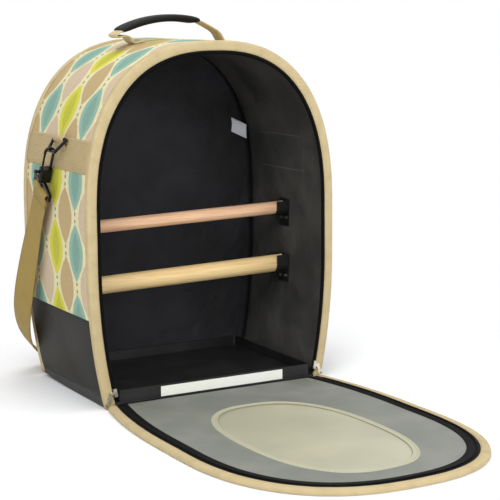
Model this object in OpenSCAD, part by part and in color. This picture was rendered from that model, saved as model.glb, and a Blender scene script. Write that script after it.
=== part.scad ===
// Soft-sided bird travel carrier with a zip-down front door, two wooden perches and a slide-out tray.
// Millimetres. +Z is up, -Y is the front, the origin is the centre of the base on the ground.
// The door is drawn open, lying on the ground in front of the case.

/* [Case] */
// Overall width of the case, over the bindings
case_w = 330; // [300:5:380]
// Overall height of the case
case_h = 426; // [400:2:480]
// Overall depth of the case, front binding to back binding
case_d = 204; // [180:2:260]
// Height of the arched top, from where the sides end
arch_rise = 205; // [190:1:215]
// Roundness of the arch, 1 is an ellipse and less is squarer
arch_power = 0.81; // [0.7:0.01:1]
// Height at which the case is widest
waist_z = 162; // [140:1:180]
// How far each side draws in at the ground
side_draw = 18.5; // [10:0.5:24]
// Thickness of the outer fabric with its foam
shell_t = 3; // [2:0.2:4]
// Thickness of the lining
lining_t = 1.8; // [1:0.2:2.5]
// Thickness of the covered base board
base_t = 7; // [6:0.5:12]
// Height of the turned-up rim of the base
base_rim_h = 14; // [12:0.5:18]
// Height of the smooth lower panels
boot_h = 106; // [80:1:130]
// Rise of the heel under the back edge
heel_rise = 5; // [2:0.5:6]

/* [Bindings and zip] */
// Width of the front binding as seen from the front
binding_w = 12; // [9:0.5:15]
// Thickness of the bindings where they lie on the fabric
binding_t = 3; // [2:0.2:4]
// How far the bindings stand proud of the fabric
binding_proud = 1.2; // [0.8:0.1:2]
// Depth of the part of a binding that wraps round onto the sides
binding_wrap = 7; // [5:0.5:12]
// Width of the back binding as seen from behind
back_binding_w = 8; // [6:0.5:12]
// Width of the case's zip tape that shows
zip_tape_w = 4; // [3.5:0.1:5]
// Thickness of each zip tape
zip_tape_t = 1.4; // [1:0.1:2]
// Height of the zip coil above its tape
coil_h = 2.1; // [1.6:0.1:2.4]
// Width of the zip coil
coil_w = 1.8; // [1.4:0.1:2.2]
// Gap between the case and the closed door
zip_gap = 6; // [5.5:0.1:8]
// Length of a zip pull
pull_len = 16; // [12:0.5:20]

/* [Door] */
// Thickness of the door over its binding
door_t = 6.4; // [6:0.2:9]
// Thickness of the padded door panel
door_panel_t = 3.6; // [3:0.1:4]
// Half width of the oval window
window_a = 82; // [60:1:90]
// Half height of the oval window
window_b = 143; // [100:1:145]
// Height of the window's centre above the ground with the door closed
window_z = 229; // [225:1:245]
// How far the window's middle stands to the left of the door's middle
window_shift = 6; // [-8:1:8]
// Roundness of the window, 1 is an ellipse and less is squarer
window_power = 0.8; // [0.7:0.05:1]
// Width of the ring sewn round the window
trim_w = 10; // [8:0.5:14]
// Width of the door's zip tape that shows inside its binding
door_tape_w = 12; // [6:0.5:13]

/* [Tray] */
// Height of the tray's walls
tray_h = 14; // [10:0.5:20]
// Thickness of the tray's walls and floor
tray_wall = 2.2; // [1.6:0.2:3]
// Length of the white strip on the tray's front
strip_len = 167; // [120:1:180]
// How far the strip's middle stands to the right of the tray's middle
strip_shift = 7; // [-10:1:10]

/* [Perches] */
// Diameter of the upper perch
upper_perch_d = 16; // [12:0.5:19]
// Diameter of the lower perch
lower_perch_d = 22; // [16:0.5:25]
// Height of the upper perch's axis at its middle
upper_perch_z = 203; // [195:1:215]
// Height of the lower perch's axis at its middle
lower_perch_z = 130; // [110:1:145]
// How much lower the left end of each perch sits
perch_fall = 7; // [0:1:8]
// Place of both perches behind the middle of the case
perch_y = 5; // [-10:1:15]
// Thickness of the bracket plates
bracket_t = 2; // [1.6:0.2:3]

/* [Handle] */
// Distance from the case's middle to each handle anchor
anchor_x = 59; // [50:1:70]
// Width of the handle webbing
handle_strap_w = 25; // [20:1:30]
// Length of the grip, measured straight
grip_len = 105; // [90:1:112]
// How far the grip's middle stands to the left of the case's middle
grip_shift = 24; // [16:1:28]
// Height of the grip's middle above the top of the case
grip_rise = 25; // [22:0.5:32]

/* [Shoulder strap] */
// Width of the shoulder webbing and of the bands on the sides
webbing_w = 38; // [34:1:40]
// Thickness of the webbing
webbing_t = 1.8; // [1.4:0.1:2.2]
// Distance from the crown down to the middle of the side bands
band_drop = 131; // [120:1:145]
// Place of the strap rings along the depth, in front of the middle
ring_y = 14; // [0:1:30]

/* [Hidden] */
$fn = 48;

// Small clearances
eps = 0.01;
soft_gap = 0.3;
run_gap = 0.08;
slide_gap = 1.2;

// Main planes of the case
half_w = case_w / 2;
spring_z = case_h - arch_rise;
side_r = (waist_z * waist_z + side_draw * side_draw) / (2 * side_draw);
front_y = -case_d / 2;
back_y = case_d / 2;
shell_in = binding_proud + shell_t;
wall_in = shell_in + lining_t;
cabin_front_y = front_y + binding_t;
shell_back_y = back_y - binding_t;
cabin_back_y = shell_back_y - shell_t - lining_t;
far = 1000;
band_z = case_h - band_drop;

// Half-width of the case outline at height z, drawn in by inset
function half_at(z, inset) =
    z >= spring_z ? arch_half(z, inset)
    : z >= waist_z ? half_w - inset
    : half_w - inset - side_r + sqrt(side_r * side_r - (waist_z - z) * (waist_z - z));
function arch_half(z, inset) =
    (half_w - inset) * pow(1 - pow((z - spring_z) / (arch_rise - inset), 2 / arch_power), arch_power / 2);
// Height of the arch at distance x from the middle, drawn in by inset
function arch_z(x, inset) =
    spring_z + (arch_rise - inset) * pow(1 - pow(abs(x) / (half_w - inset), 2 / arch_power), arch_power / 2);

// Right half of the outline, from just under the ground up to the crown.
// Every outline shares these steps, so that pieces on each other meet along the same faces.
arch_steps = 22;
side_steps = 12;
function right_side(inset) = [for (i = [-1:side_steps])
    let (z = waist_z * i / side_steps) [half_at(z, inset), z]];
function right_arch(inset) = [for (i = [0:arch_steps - 1])
    let (t = 90 * i / arch_steps)
    [(half_w - inset) * pow(cos(t), arch_power), spring_z + (arch_rise - inset) * pow(sin(t), arch_power)]];
function backwards(points) = [for (i = [len(points) - 1:-1:0]) [-points[i][0], points[i][1]]];

module below(z) {
    translate([-far, z - far]) square([2 * far, far]);
}

module arch(inset, z0 = 0) {
    right = concat(right_side(inset), right_arch(inset));
    crown = [[0, case_h - inset]];
    difference() {
        polygon(concat(right, crown, backwards(right)));
        below(z0);
    }
}

module ring(outer, inner, z0 = 0) {
    difference() {
        arch(outer, z0);
        arch(inner, z0 - 1);
    }
}

// A flat outline in X and Z, given depth from y0 to y1
module slab(y0, y1) {
    translate([0, y1, 0])
        rotate([90, 0, 0])
            linear_extrude(y1 - y0)
                children();
}

module oval(a, b, power, steps = 64) {
    polygon([for (i = [0:steps - 1])
        let (t = 360 * i / steps)
        [a * sign(cos(t)) * pow(abs(cos(t)), power), b * sign(sin(t)) * pow(abs(sin(t)), power)]]);
}

// Case shell

module gusset_shell() {
    color("tan")
        slab(cabin_front_y, shell_back_y)
            ring(binding_proud, shell_in, boot_h);
}

module side_boots() {
    color([0.2, 0.2, 0.18])
        slab(cabin_front_y, shell_back_y)
            difference() {
                ring(binding_proud, shell_in, base_rim_h);
                translate([-far, boot_h]) square([2 * far, far]);
            }
}

module heel_cut() {
    heel_start = case_d * 0.1;
    rotate([90, 0, 90])
        translate([0, 0, -far / 2])
            linear_extrude(far)
                polygon([
                    [heel_start, 0], [heel_start, -5], [back_y + 5, -5],
                    [back_y + 5, heel_rise], [back_y, heel_rise]]);
}

module base_pan() {
    color([0.16, 0.16, 0.17])
        difference() {
            slab(front_y, shell_back_y)
                intersection() {
                    arch(binding_proud);
                    below(base_rim_h);
                }
            slab(front_y - 1, shell_back_y + 1)
                arch(shell_in, base_t);
            slab(front_y - 1, cabin_front_y)
                ring(-5, binding_w, -1);
            slab(front_y - 1, cabin_front_y)
                translate([-far, base_t]) square([2 * far, far]);
            heel_cut();
        }
}

module back_panel() {
    color("tan")
        slab(shell_back_y - shell_t, shell_back_y)
            arch(shell_in, boot_h);
}

module back_boot() {
    color([0.2, 0.2, 0.18])
        slab(shell_back_y - shell_t, shell_back_y)
            intersection() {
                arch(shell_in, base_t);
                below(boot_h);
            }
}

module wall_lining() {
    color([0.1, 0.1, 0.11])
        slab(cabin_front_y, shell_back_y - shell_t)
            ring(shell_in, wall_in, base_t);
}

module back_lining() {
    color([0.1, 0.1, 0.11])
        slab(cabin_back_y, cabin_back_y + lining_t)
            arch(wall_in, base_t);
}

binding_foot = 1;
module front_binding() {
    color([0.72, 0.62, 0.42]) {
        slab(front_y, cabin_front_y)
            ring(0, binding_w, binding_foot);
        slab(cabin_front_y, cabin_front_y + binding_wrap)
            ring(0, binding_proud, binding_foot);
    }
}

module back_binding() {
    color([0.72, 0.62, 0.42]) {
        slab(shell_back_y, back_y)
            ring(0, back_binding_w, heel_rise + binding_foot);
        slab(shell_back_y - binding_wrap, shell_back_y)
            ring(0, binding_proud, heel_rise + binding_foot);
    }
}

tape_y = front_y + 0.5;
zip_foot = base_t + 2;
module case_zip_tape() {
    color([0.07, 0.07, 0.07])
        slab(tape_y, tape_y + zip_tape_t)
            ring(binding_w, binding_w + zip_tape_w, zip_foot);
}

coil_in = binding_w + (zip_tape_w - coil_w) / 2;
case_coil_y = tape_y - coil_h;
module case_zip_coil() {
    color([0.12, 0.12, 0.12])
        slab(case_coil_y, tape_y)
            ring(coil_in, coil_in + coil_w, zip_foot);
}

label_w = 20;
label_h = 19;
label_drop = 10;
label_turn = 26;
module care_label() {
    label_t = 0.5;
    label_top = band_z + 24;
    label_x = half_at(label_top - label_drop, wall_in) - 4 - label_w * cos(label_turn);
    color("white")
        translate([label_x, cabin_back_y - label_t - 0.2, label_top])
            rotate([90, 0, -label_turn])
                linear_extrude(label_t)
                    polygon([
                        [0, 0], [label_w, -label_drop],
                        [label_w, -label_drop - label_h], [0, -label_h]]);
}

// Bands, rings and handle anchors on the shell

module side_band(side) {
    color([0.72, 0.62, 0.42])
        slab(cabin_front_y + binding_wrap, shell_back_y - binding_wrap)
            intersection() {
                ring(binding_proud - webbing_t, binding_proud, boot_h);
                translate([side < 0 ? -far : 0, band_z - webbing_w / 2]) square([far, webbing_w]);
            }
}
module side_band_left() { side_band(-1); }
module side_band_right() { side_band(1); }

ring_wire = 1.9;
ring_w = 38;
ring_drop = 18;
ring_tilt = 40;
ring_z = band_z + webbing_w / 2 - 2;
ring_x = half_at(ring_z, binding_proud) + webbing_t + ring_wire + soft_gap + webbing_t;

// Children are drawn for the left side, and mirrored for the right
module on_side(side) {
    if (side < 0) {
        children();
    } else {
        mirror([1, 0, 0]) children();
    }
}

module at_ring(side) {
    on_side(side)
        translate([-ring_x, -ring_y, ring_z])
            children();
}

tab_lift = 0.1;
module ring_tab(side) {
    tab_len = ring_w - 8;
    tab_r = ring_wire + soft_gap + webbing_t;
    tab_bottom = ring_z - webbing_w * 0.3;
    color([0.72, 0.62, 0.42])
        on_side(side)
            slab(-ring_y - tab_len / 2, -ring_y + tab_len / 2)
                difference() {
                    union() {
                        translate([-ring_x, ring_z]) circle(tab_r);
                        polygon([
                            [-ring_x + tab_r, ring_z + tab_r],
                            [-ring_x, ring_z + tab_r],
                            [-ring_x, ring_z - tab_r],
                            [-half_at(tab_bottom, binding_proud) - 2 * webbing_t, tab_bottom],
                            [-ring_x + tab_r, tab_bottom]]);
                    }
                    translate([-ring_x, ring_z]) circle(ring_wire + soft_gap);
                    arch(binding_proud - webbing_t - tab_lift);
                }
}
module ring_tab_left() { ring_tab(-1); }
module ring_tab_right() { ring_tab(1); }

patch_w = 32;
module handle_patch(side) {
    color([0.72, 0.62, 0.42])
        slab(-handle_strap_w / 2 - 1, handle_strap_w / 2 + 1)
            intersection() {
                ring(binding_proud - patch_t, binding_proud, spring_z);
                translate([side * anchor_x - patch_w / 2, spring_z]) square([patch_w, arch_rise * 2]);
            }
}
module handle_patch_left() { handle_patch(-1); }
module handle_patch_right() { handle_patch(1); }

// Carrying handle: webbing that stands on two rounded feet, with a padded grip on its middle.
// The grip hangs over to the left, so the webbing doubles back under its left end.

handle_t = 2.4;
foot_r = 6;
foot_rise = 4;
foot_gap = 0.5;
patch_t = 2.5;
handle_axis_z = arch_z(anchor_x - handle_t / 2, binding_proud - patch_t) + foot_r + foot_gap;
grip_sag = 9;
grip_t = 7.5;
grip_w = handle_strap_w + 3;
grip_tilt = 6;
grip_r = (grip_len * grip_len / 4 + grip_sag * grip_sag) / (2 * grip_sag);
grip_half_angle = asin(grip_len / 2 / grip_r);
grip_mid = [-grip_shift, case_h + grip_rise];
grip_centre = [grip_mid[0] + grip_r * sin(grip_tilt), grip_mid[1] - grip_r * cos(grip_tilt)];
function grip_point(angle) = [
    grip_centre[0] + grip_r * cos(90 + grip_tilt + angle),
    grip_centre[1] + grip_r * sin(90 + grip_tilt + angle)];

module along_grip() {
    translate([grip_centre[0], 0, grip_centre[1]])
        rotate([90, 0, 0])
            rotate([0, 0, 90 + grip_tilt - grip_half_angle])
                rotate_extrude(angle = 2 * grip_half_angle, $fn = 180)
                    translate([grip_r, 0])
                        children();
}

module rounded_square(w, d, r) {
    square([w - 2 * r, d], center = true);
    square([w, d - 2 * r], center = true);
    for (x = [-1, 1], y = [-1, 1])
        translate([x * (w / 2 - r), y * (d / 2 - r)]) circle(r);
}

module handle_grip() {
    color([0.08, 0.08, 0.08])
        along_grip()
            difference() {
                rounded_square(grip_t, grip_w, grip_t * 0.45);
                square([handle_t + soft_gap, handle_strap_w + soft_gap], center = true);
            }
}

// Middle line of the webbing, from the left foot round the fold, through the grip and down to the right foot
grip_steps = 16;
grip_over = 1.5;
strap_foot = [anchor_x, handle_axis_z + foot_rise];
fold_start = grip_point(grip_half_angle + grip_over);
grip_line = [for (i = [0:grip_steps])
    grip_point((grip_half_angle + grip_over) * (1 - 2 * i / grip_steps))];
handle_line = concat(
    [[-strap_foot[0], strap_foot[1] - 1.2],
    [-strap_foot[0] - 0.6, strap_foot[1] + 0.5],
    [-strap_foot[0] - 2.6, strap_foot[1] + 1],
    [-strap_foot[0] - 9, strap_foot[1]],
    fold_start + [2, -4.8],
    fold_start + [-2, -4.6],
    fold_start + [-3.3, -3.1],
    fold_start + [-2.5, -1.4]],
    grip_line,
    [strap_foot + [-7, 5],
    strap_foot + [-1.4, 2.1],
    strap_foot + [0, -0.2],
    strap_foot + [0, -1.2]]);

// A flat outline of thickness t along a line of points, with mitred corners
function beside(from, to) = let (run = to - from) [-run[1], run[0]] / norm(run);
function corner(line, i, out) = let (
    before = beside(line[max(i, 1) - 1], line[max(i, 1)]),
    after = beside(line[min(i, len(line) - 2)], line[min(i, len(line) - 2) + 1]))
    line[i] + (before + after) * out / (1 + before * after);

module stroke(line, t) {
    last = len(line) - 1;
    polygon(concat(
        [for (i = [0:last]) corner(line, i, t / 2)],
        [for (i = [last:-1:0]) corner(line, i, -t / 2)]));
}

// Each foot is a plate with a round lower end about the fold, which widens up to the webbing
module handle_foot() {
    polygon(concat(
        [for (i = [0:16]) let (t = 180 + 180 * i / 16) [foot_r * cos(t), foot_r * sin(t)]],
        [[handle_strap_w / 2 - 1, foot_rise - 0.8], [1 - handle_strap_w / 2, foot_rise - 0.8]]));
}

module handle_strap() {
    color([0.72, 0.62, 0.42]) {
        slab(-handle_strap_w / 2, handle_strap_w / 2)
            stroke(handle_line, handle_t);
        for (side = [-1, 1])
            translate([side * anchor_x, 0, handle_axis_z])
                rotate([90, 0, 90])
                    linear_extrude(handle_t - 0.4, center = true)
                        handle_foot();
    }
}

// Perches and the brackets that they lift out of

bracket_h = 36;
bracket_w = 24;
bracket_above = 11;
cradle_len = 16;
cradle_t = 2.2;
screw_r = 1.2;
screw_head_r = 2.5;
screw_head_t = 1.2;
screw_y = 6;
perch_end_gap = 0.8;
function cradle_r(d) = d / 2 + 2 * soft_gap;
function screw_drop(d) = cradle_r(d) + cradle_t + screw_head_r + 0.8;
function perch_end_z(side, z) = z + side * perch_fall / 2;
function plate_x(z) =
    min(half_at(z - bracket_h + bracket_above, wall_in), half_at(z + bracket_above, wall_in));
function perch_reach(z) =
    min(plate_x(perch_end_z(-1, z)), plate_x(perch_end_z(1, z))) - bracket_t - perch_end_gap;

module perch(d, z) {
    bevel = 1;
    reach = perch_reach(z);
    tilt = asin(perch_fall / (2 * reach));
    color([0.87, 0.7, 0.5])
        translate([0, perch_y, z])
            rotate([0, 90 - tilt, 0])
                rotate_extrude()
                    polygon([
                        [0, -reach], [d / 2 - bevel, -reach], [d / 2, -reach + bevel],
                        [d / 2, reach - bevel], [d / 2 - bevel, reach], [0, reach]]);
}
module upper_perch() { perch(upper_perch_d, upper_perch_z); }
module lower_perch() { perch(lower_perch_d, lower_perch_z); }

module bracket_plate(d) {
    difference() {
        translate([0, -bracket_w / 2, bracket_above - bracket_h]) cube([bracket_t, bracket_w, bracket_h]);
        for (y = [-1, 1])
            translate([0, y * screw_y, -screw_drop(d)])
                rotate([0, 90, 0])
                    cylinder(r = screw_r + run_gap, h = 4 * bracket_t, center = true, $fn = 24);
    }
}

module cradle(r) {
    linear_extrude(cradle_len)
        difference() {
            union() {
                circle(r + cradle_t);
                translate([-r - cradle_t, 0]) square([2 * (r + cradle_t), r]);
            }
            circle(r);
            translate([-r, 0]) square([2 * r, 2 * r]);
            translate([-2 * r, r]) square([4 * r, 2 * r]);
        }
}

module bracket(side, d, z) {
    z_end = perch_end_z(side, z);
    color([0.1, 0.1, 0.1])
        on_side(side)
            translate([-plate_x(z_end), perch_y, z_end]) {
                bracket_plate(d);
                translate([bracket_t - eps, 0, 0])
                    rotate([90, 0, 90])
                        cradle(cradle_r(d));
            }
}
module upper_bracket_left() { bracket(-1, upper_perch_d, upper_perch_z); }
module upper_bracket_right() { bracket(1, upper_perch_d, upper_perch_z); }
module lower_bracket_left() { bracket(-1, lower_perch_d, lower_perch_z); }
module lower_bracket_right() { bracket(1, lower_perch_d, lower_perch_z); }

module bracket_screw() {
    slot_w = 0.6;
    rotate([0, 90, 0]) {
        cylinder(r = screw_r, h = bracket_t, $fn = 24);
        translate([0, 0, bracket_t])
            difference() {
                cylinder(r = screw_head_r, h = screw_head_t, $fn = 32);
                for (a = [0, 90])
                    rotate(a)
                        translate([-screw_head_r * 0.7, -slot_w / 2, screw_head_t * 0.5])
                            cube([screw_head_r * 1.4, slot_w, screw_head_t]);
            }
    }
}

module bracket_screws() {
    color("silver")
        for (perch = [[upper_perch_d, upper_perch_z], [lower_perch_d, lower_perch_z]],
            side = [-1, 1], y = [-1, 1]) {
            z_end = perch_end_z(side, perch[1]);
            on_side(side)
                translate([-plate_x(z_end), perch_y + y * screw_y, z_end - screw_drop(perch[0])])
                    bracket_screw();
        }
}

// Tray

tray_z = base_t + soft_gap;
tray_front_y = front_y + 0.4;
tray_back_y = cabin_back_y - 1;
tray_half = half_at(tray_z, binding_w + zip_tape_w) - slide_gap;
strip_t = 0.8;

module tray_block(inset, z0, z1) {
    depth = tray_back_y - tray_front_y;
    translate([0, tray_front_y + depth / 2, z0])
        linear_extrude(z1 - z0)
            rounded_square(2 * (tray_half - inset), depth - 2 * inset, 5 - inset);
}

module floor_tray() {
    color([0.1, 0.1, 0.1])
        difference() {
            tray_block(0, tray_z, tray_z + tray_h);
            tray_block(tray_wall, tray_z + tray_wall, tray_z + tray_h + 1);
        }
}

module tray_strip() {
    strip_h = tray_h - 2;
    color("white")
        translate([strip_shift - strip_len / 2, tray_front_y - strip_t, tray_z])
            cube([strip_len, strip_t, strip_h]);
}

// Door: drawn closed against the case, then laid open about its hinge line

hinge_y = front_y - zip_gap;
hinge_z = door_t;
door_foot = hinge_z + soft_gap;
door_out_y = hinge_y - door_t;
door_edge_t = (door_t - door_panel_t) / 2 - 0.25;
panel_out_y = door_out_y + door_edge_t;
panel_in_y = panel_out_y + door_panel_t;

module opened() {
    translate([0, hinge_y, hinge_z])
        rotate([90, 0, 0])
            translate([0, -hinge_y, -hinge_z])
                children();
}

module window_hole(grow = 0) {
    translate([-window_shift, window_z]) oval(window_a + grow, window_b + grow, window_power);
}

module door_panel() {
    color("tan")
        opened()
            slab(panel_out_y, panel_in_y)
                difference() {
                    arch(2, door_foot);
                    window_hole();
                }
}

lining_sheet_t = 1;
door_lining_in = binding_w + door_tape_w;
module door_lining() {
    color([0.5, 0.53, 0.5])
        opened()
            slab(panel_in_y, panel_in_y + lining_sheet_t)
                difference() {
                    arch(door_lining_in, door_foot);
                    window_hole();
                }
}

module door_binding() {
    color([0.72, 0.62, 0.42])
        opened()
            difference() {
                slab(door_out_y, hinge_y)
                    ring(0, binding_w, door_foot);
                slab(panel_out_y, panel_in_y)
                    arch(2, door_foot - 1);
            }
}

module door_zip_tape() {
    color([0.07, 0.07, 0.07])
        opened()
            slab(panel_in_y, panel_in_y + zip_tape_t)
                ring(binding_w, door_lining_in, door_foot);
}

module door_zip_coil() {
    coil_y = panel_in_y + zip_tape_t;
    color([0.12, 0.12, 0.12])
        opened()
            slab(coil_y, coil_y + coil_h)
                ring(coil_in, coil_in + coil_w, door_foot + 12);
}

pane_t = 1.2;
pane_y = panel_in_y + lining_sheet_t - pane_t;
module window_pane() {
    color([0.8, 0.8, 0.7, 0.6])
        opened()
            slab(pane_y, pane_y + pane_t)
                window_hole();
}

trim_over = 4;
trim_t = 1;
module window_trim() {
    color([0.62, 0.62, 0.53])
        opened()
            slab(pane_y + pane_t, pane_y + pane_t + trim_t)
                difference() {
                    window_hole(trim_w - trim_over);
                    window_hole(-trim_over);
                }
}

welt_t = door_edge_t - 0.15;
module window_welt() {
    color([0.72, 0.62, 0.42])
        opened()
            slab(panel_out_y - welt_t, panel_out_y)
                difference() {
                    window_hole(trim_w - trim_over);
                    window_hole(-trim_over / 2);
                }
}

module hinge_tape() {
    tape_half = tray_half - 3;
    tape_t = 0.8;
    color([0.07, 0.07, 0.07])
        translate([-tape_half, hinge_y - soft_gap, hinge_z - door_edge_t - tape_t])
            cube([2 * tape_half, zip_gap + soft_gap - 0.4, tape_t]);
}

// Zip sliders: each runs on its half of the case's coil, up the curve of the side

slider_z = zip_foot + 11;
slider_len = 10;
slider_r = side_r - coil_in - coil_w / 2;
slider_angle = asin((waist_z - slider_z) / slider_r);
slider_plate_t = 1.5;
slider_front_y = case_coil_y - soft_gap - slider_plate_t;
slider_w = coil_w + 2 * (soft_gap + 0.8);
lug_reach = 3;
pin_r = 0.7;
pull_t = 1;
pull_w = 6;
pull_gap = 0.15;
pull_droop = 68;

// The origin is on the coil's middle line at the slider, with Z along the track and -X towards the edge
module at_slider(side) {
    on_side(side)
        translate([-half_w + side_r, 0, waist_z])
            rotate([0, -slider_angle, 0])
                translate([-slider_r, 0, 0])
                    children();
}

module slider_body() {
    flange = 0.8;
    inner = coil_w / 2 + soft_gap;
    translate([-slider_w / 2, slider_front_y, -slider_len / 2])
        cube([slider_w, slider_plate_t, slider_len]);
    for (side = [-1, 1])
        translate([side * (inner + flange / 2) - flange / 2, slider_front_y, -slider_len / 2])
            cube([flange, front_y - soft_gap - slider_front_y, slider_len]);
}

module slider_lug() {
    lug_x = -slider_w / 2 - lug_reach;
    translate([lug_x, slider_front_y, -1.6]) cube([lug_reach, slider_plate_t, 3.2]);
    translate([lug_x, slider_front_y, 0])
        rotate([-90, 0, 0]) {
            cylinder(r = 1.6, h = slider_plate_t, $fn = 24);
            cylinder(r = pin_r, h = slider_plate_t + pull_t + 2 * pull_gap, $fn = 24);
            translate([0, 0, slider_plate_t + pull_t + 2 * pull_gap])
                cylinder(r = 1.3, h = 0.35, $fn = 24);
        }
}

module zip_slider(side) {
    color([0.75, 0.72, 0.65])
        at_slider(side) {
            slider_body();
            slider_lug();
        }
}
module zip_slider_left() { zip_slider(-1); }
module zip_slider_right() { zip_slider(1); }

module zip_pull(side) {
    pin_x = -slider_w / 2 - lug_reach;
    y0 = slider_front_y + slider_plate_t + pull_gap;
    color([0.75, 0.72, 0.65])
        at_slider(side)
            translate([pin_x, y0 + pull_t, 0])
                rotate([90, 180 - pull_droop + slider_angle, 0])
                    linear_extrude(pull_t)
                        difference() {
                            union() {
                                circle(2.4, $fn = 32);
                                translate([0, -1.8]) square([pull_len * 0.45, 3.6]);
                                translate([pull_len * 0.4, -pull_w / 2]) square([pull_len * 0.45, pull_w]);
                                translate([pull_len * 0.85, 0]) circle(pull_w / 2, $fn = 32);
                            }
                            circle(pin_r + run_gap, $fn = 24);
                            translate([pull_len * 0.72, 0]) circle(1.4, $fn = 24);
                        }
}
module zip_pull_left() { zip_pull(-1); }
module zip_pull_right() { zip_pull(1); }

// Strap ring, swivel hook with its sliding trigger, and the sewn loop on the strap's end

// A closed loop of round wire in the YZ plane, with slightly swollen corners
module wire_loop(corners, r) {
    swell = 1.06;
    for (i = [0:len(corners) - 1]) {
        here = corners[i];
        side = corners[(i + 1) % len(corners)] - here;
        translate([0, here[0], here[1]]) {
            sphere(r * swell, $fn = 24);
            rotate([atan2(side[1], side[0]) - 90, 0, 0])
                cylinder(r = r, h = norm(side), $fn = 24);
        }
    }
}

module strap_ring(side) {
    bottom_half = 11;
    color([0.1, 0.1, 0.1])
        at_ring(side)
            rotate([0, ring_tilt, 0])
                wire_loop([
                    [-ring_w / 2, 0],
                    [-bottom_half, -ring_drop],
                    [bottom_half, -ring_drop],
                    [ring_w / 2, 0]], ring_wire);
}
module ring_left() { strap_ring(-1); }
module ring_right() { strap_ring(1); }

hook_wire = 1.7;
hook_half = 5.2;
hook_lean = 27;
hook_out = 2;
hook_top_y = 5;
loop_len = 24;
body_len = 18;
body_r = 4.6;
bolt_r = 1.3;
bolt_travel = 8;

// The origin is the middle of the ring's lower bar, with Z along the hook
module at_hook(side) {
    at_ring(side)
        translate([-ring_drop * sin(ring_tilt), hook_top_y, -ring_drop * cos(ring_tilt)])
            rotate([hook_lean, hook_out, 0])
                children();
}

arc_z = ring_wire + soft_gap + hook_wire - hook_half;
body_top = -loop_len;
body_bottom = -loop_len - body_len;
module hook(side) {
    tip_drop = 3;
    color([0.1, 0.1, 0.1])
        at_hook(side) {
            translate([0, 0, arc_z])
                rotate([90, 0, 0])
                    rotate_extrude(angle = 180)
                        translate([hook_half, 0]) circle(hook_wire, $fn = 24);
            translate([hook_half, 0, body_top - eps])
                cylinder(r = hook_wire, h = arc_z - body_top + 2 * eps, $fn = 24);
            translate([-hook_half, 0, arc_z - tip_drop])
                cylinder(r = hook_wire, h = tip_drop + eps, $fn = 24);
            difference() {
                translate([0, 0, body_bottom])
                    linear_extrude(body_len)
                        rounded_square(2 * (hook_half + 2.6), 2 * body_r, 3);
                translate([-hook_half, 0, body_bottom + 2])
                    cylinder(r = bolt_r + run_gap, h = body_len, $fn = 24);
                translate([-hook_half - 10, -1.3, body_top - 2 - bolt_travel - 4])
                    cube([10, 2.6, bolt_travel + 4]);
            }
            translate([0, 0, body_bottom - 5])
                cylinder(r = 2.2, h = 5 + eps, $fn = 32);
            translate([0, 0, body_bottom - 6.5])
                cylinder(r = 3.4, h = 1.5, $fn = 32);
        }
}
module hook_left() { hook(-1); }
module hook_right() { hook(1); }

module hook_trigger(side) {
    tip_drop = 3;
    bolt_top = arc_z - tip_drop - 0.4;
    stem_z = body_top - 5;
    color([0.12, 0.12, 0.12])
        at_hook(side) {
            translate([-hook_half, 0, stem_z - 1])
                cylinder(r = bolt_r, h = bolt_top - stem_z + 1, $fn = 24);
            translate([-hook_half - 7, -1.2, stem_z - 1]) cube([7, 2.4, 3]);
            translate([-hook_half - 9, 0, stem_z + 0.5])
                rotate([0, 90, 0])
                    cylinder(r = 2.5, h = 3, $fn = 32);
        }
}
module hook_trigger_left() { hook_trigger(-1); }
module hook_trigger_right() { hook_trigger(1); }

eye_top = body_bottom - 0.4;
eye_bar_z = body_bottom - 13;
eye_wire = 3.6;
swivel_turn = 2;
module swivel_eye(side) {
    eye_half = webbing_w / 2 + 1.5;
    shoulder_z = eye_top - 5;
    color([0.1, 0.1, 0.1])
        at_hook(side)
            rotate(swivel_turn)
            difference() {
                rotate([90, 0, 90])
                    linear_extrude(eye_wire, center = true)
                        difference() {
                            polygon([
                                [-5, eye_top], [5, eye_top],
                                [eye_half + eye_wire, shoulder_z],
                                [eye_half + eye_wire, eye_bar_z - eye_wire / 2],
                                [-eye_half - eye_wire, eye_bar_z - eye_wire / 2],
                                [-eye_half - eye_wire, shoulder_z]]);
                            polygon([
                                [-6, eye_top - 4], [6, eye_top - 4],
                                [eye_half, shoulder_z - 2.4], [eye_half, eye_bar_z + eye_wire / 2],
                                [-eye_half, eye_bar_z + eye_wire / 2], [-eye_half, shoulder_z - 2.4]]);
                        }
                translate([0, 0, eye_top - 8])
                    cylinder(r = 2.2 + run_gap, h = 10, $fn = 32);
                translate([0, 0, eye_top - 12])
                    cylinder(r = 3.7, h = 7.2, $fn = 32);
            }
}
module swivel_eye_left() { swivel_eye(-1); }
module swivel_eye_right() { swivel_eye(1); }

loop_r = eye_wire * 0.72 + soft_gap;
loop_bottom = eye_bar_z - 16;
module strap_loop(side) {
    color([0.66, 0.57, 0.36])
        at_hook(side)
            rotate(swivel_turn)
            translate([0, webbing_w / 2, 0])
                rotate([90, 0, 0])
                    linear_extrude(webbing_w)
                        difference() {
                            union() {
                                translate([0, eye_bar_z]) circle(loop_r + webbing_t);
                                translate([-webbing_t, loop_bottom])
                                    square([2 * webbing_t, eye_bar_z - loop_bottom]);
                            }
                            translate([0, eye_bar_z]) circle(loop_r);
                        }
}
module strap_loop_left() { strap_loop(-1); }
module strap_loop_right() { strap_loop(1); }

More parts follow.
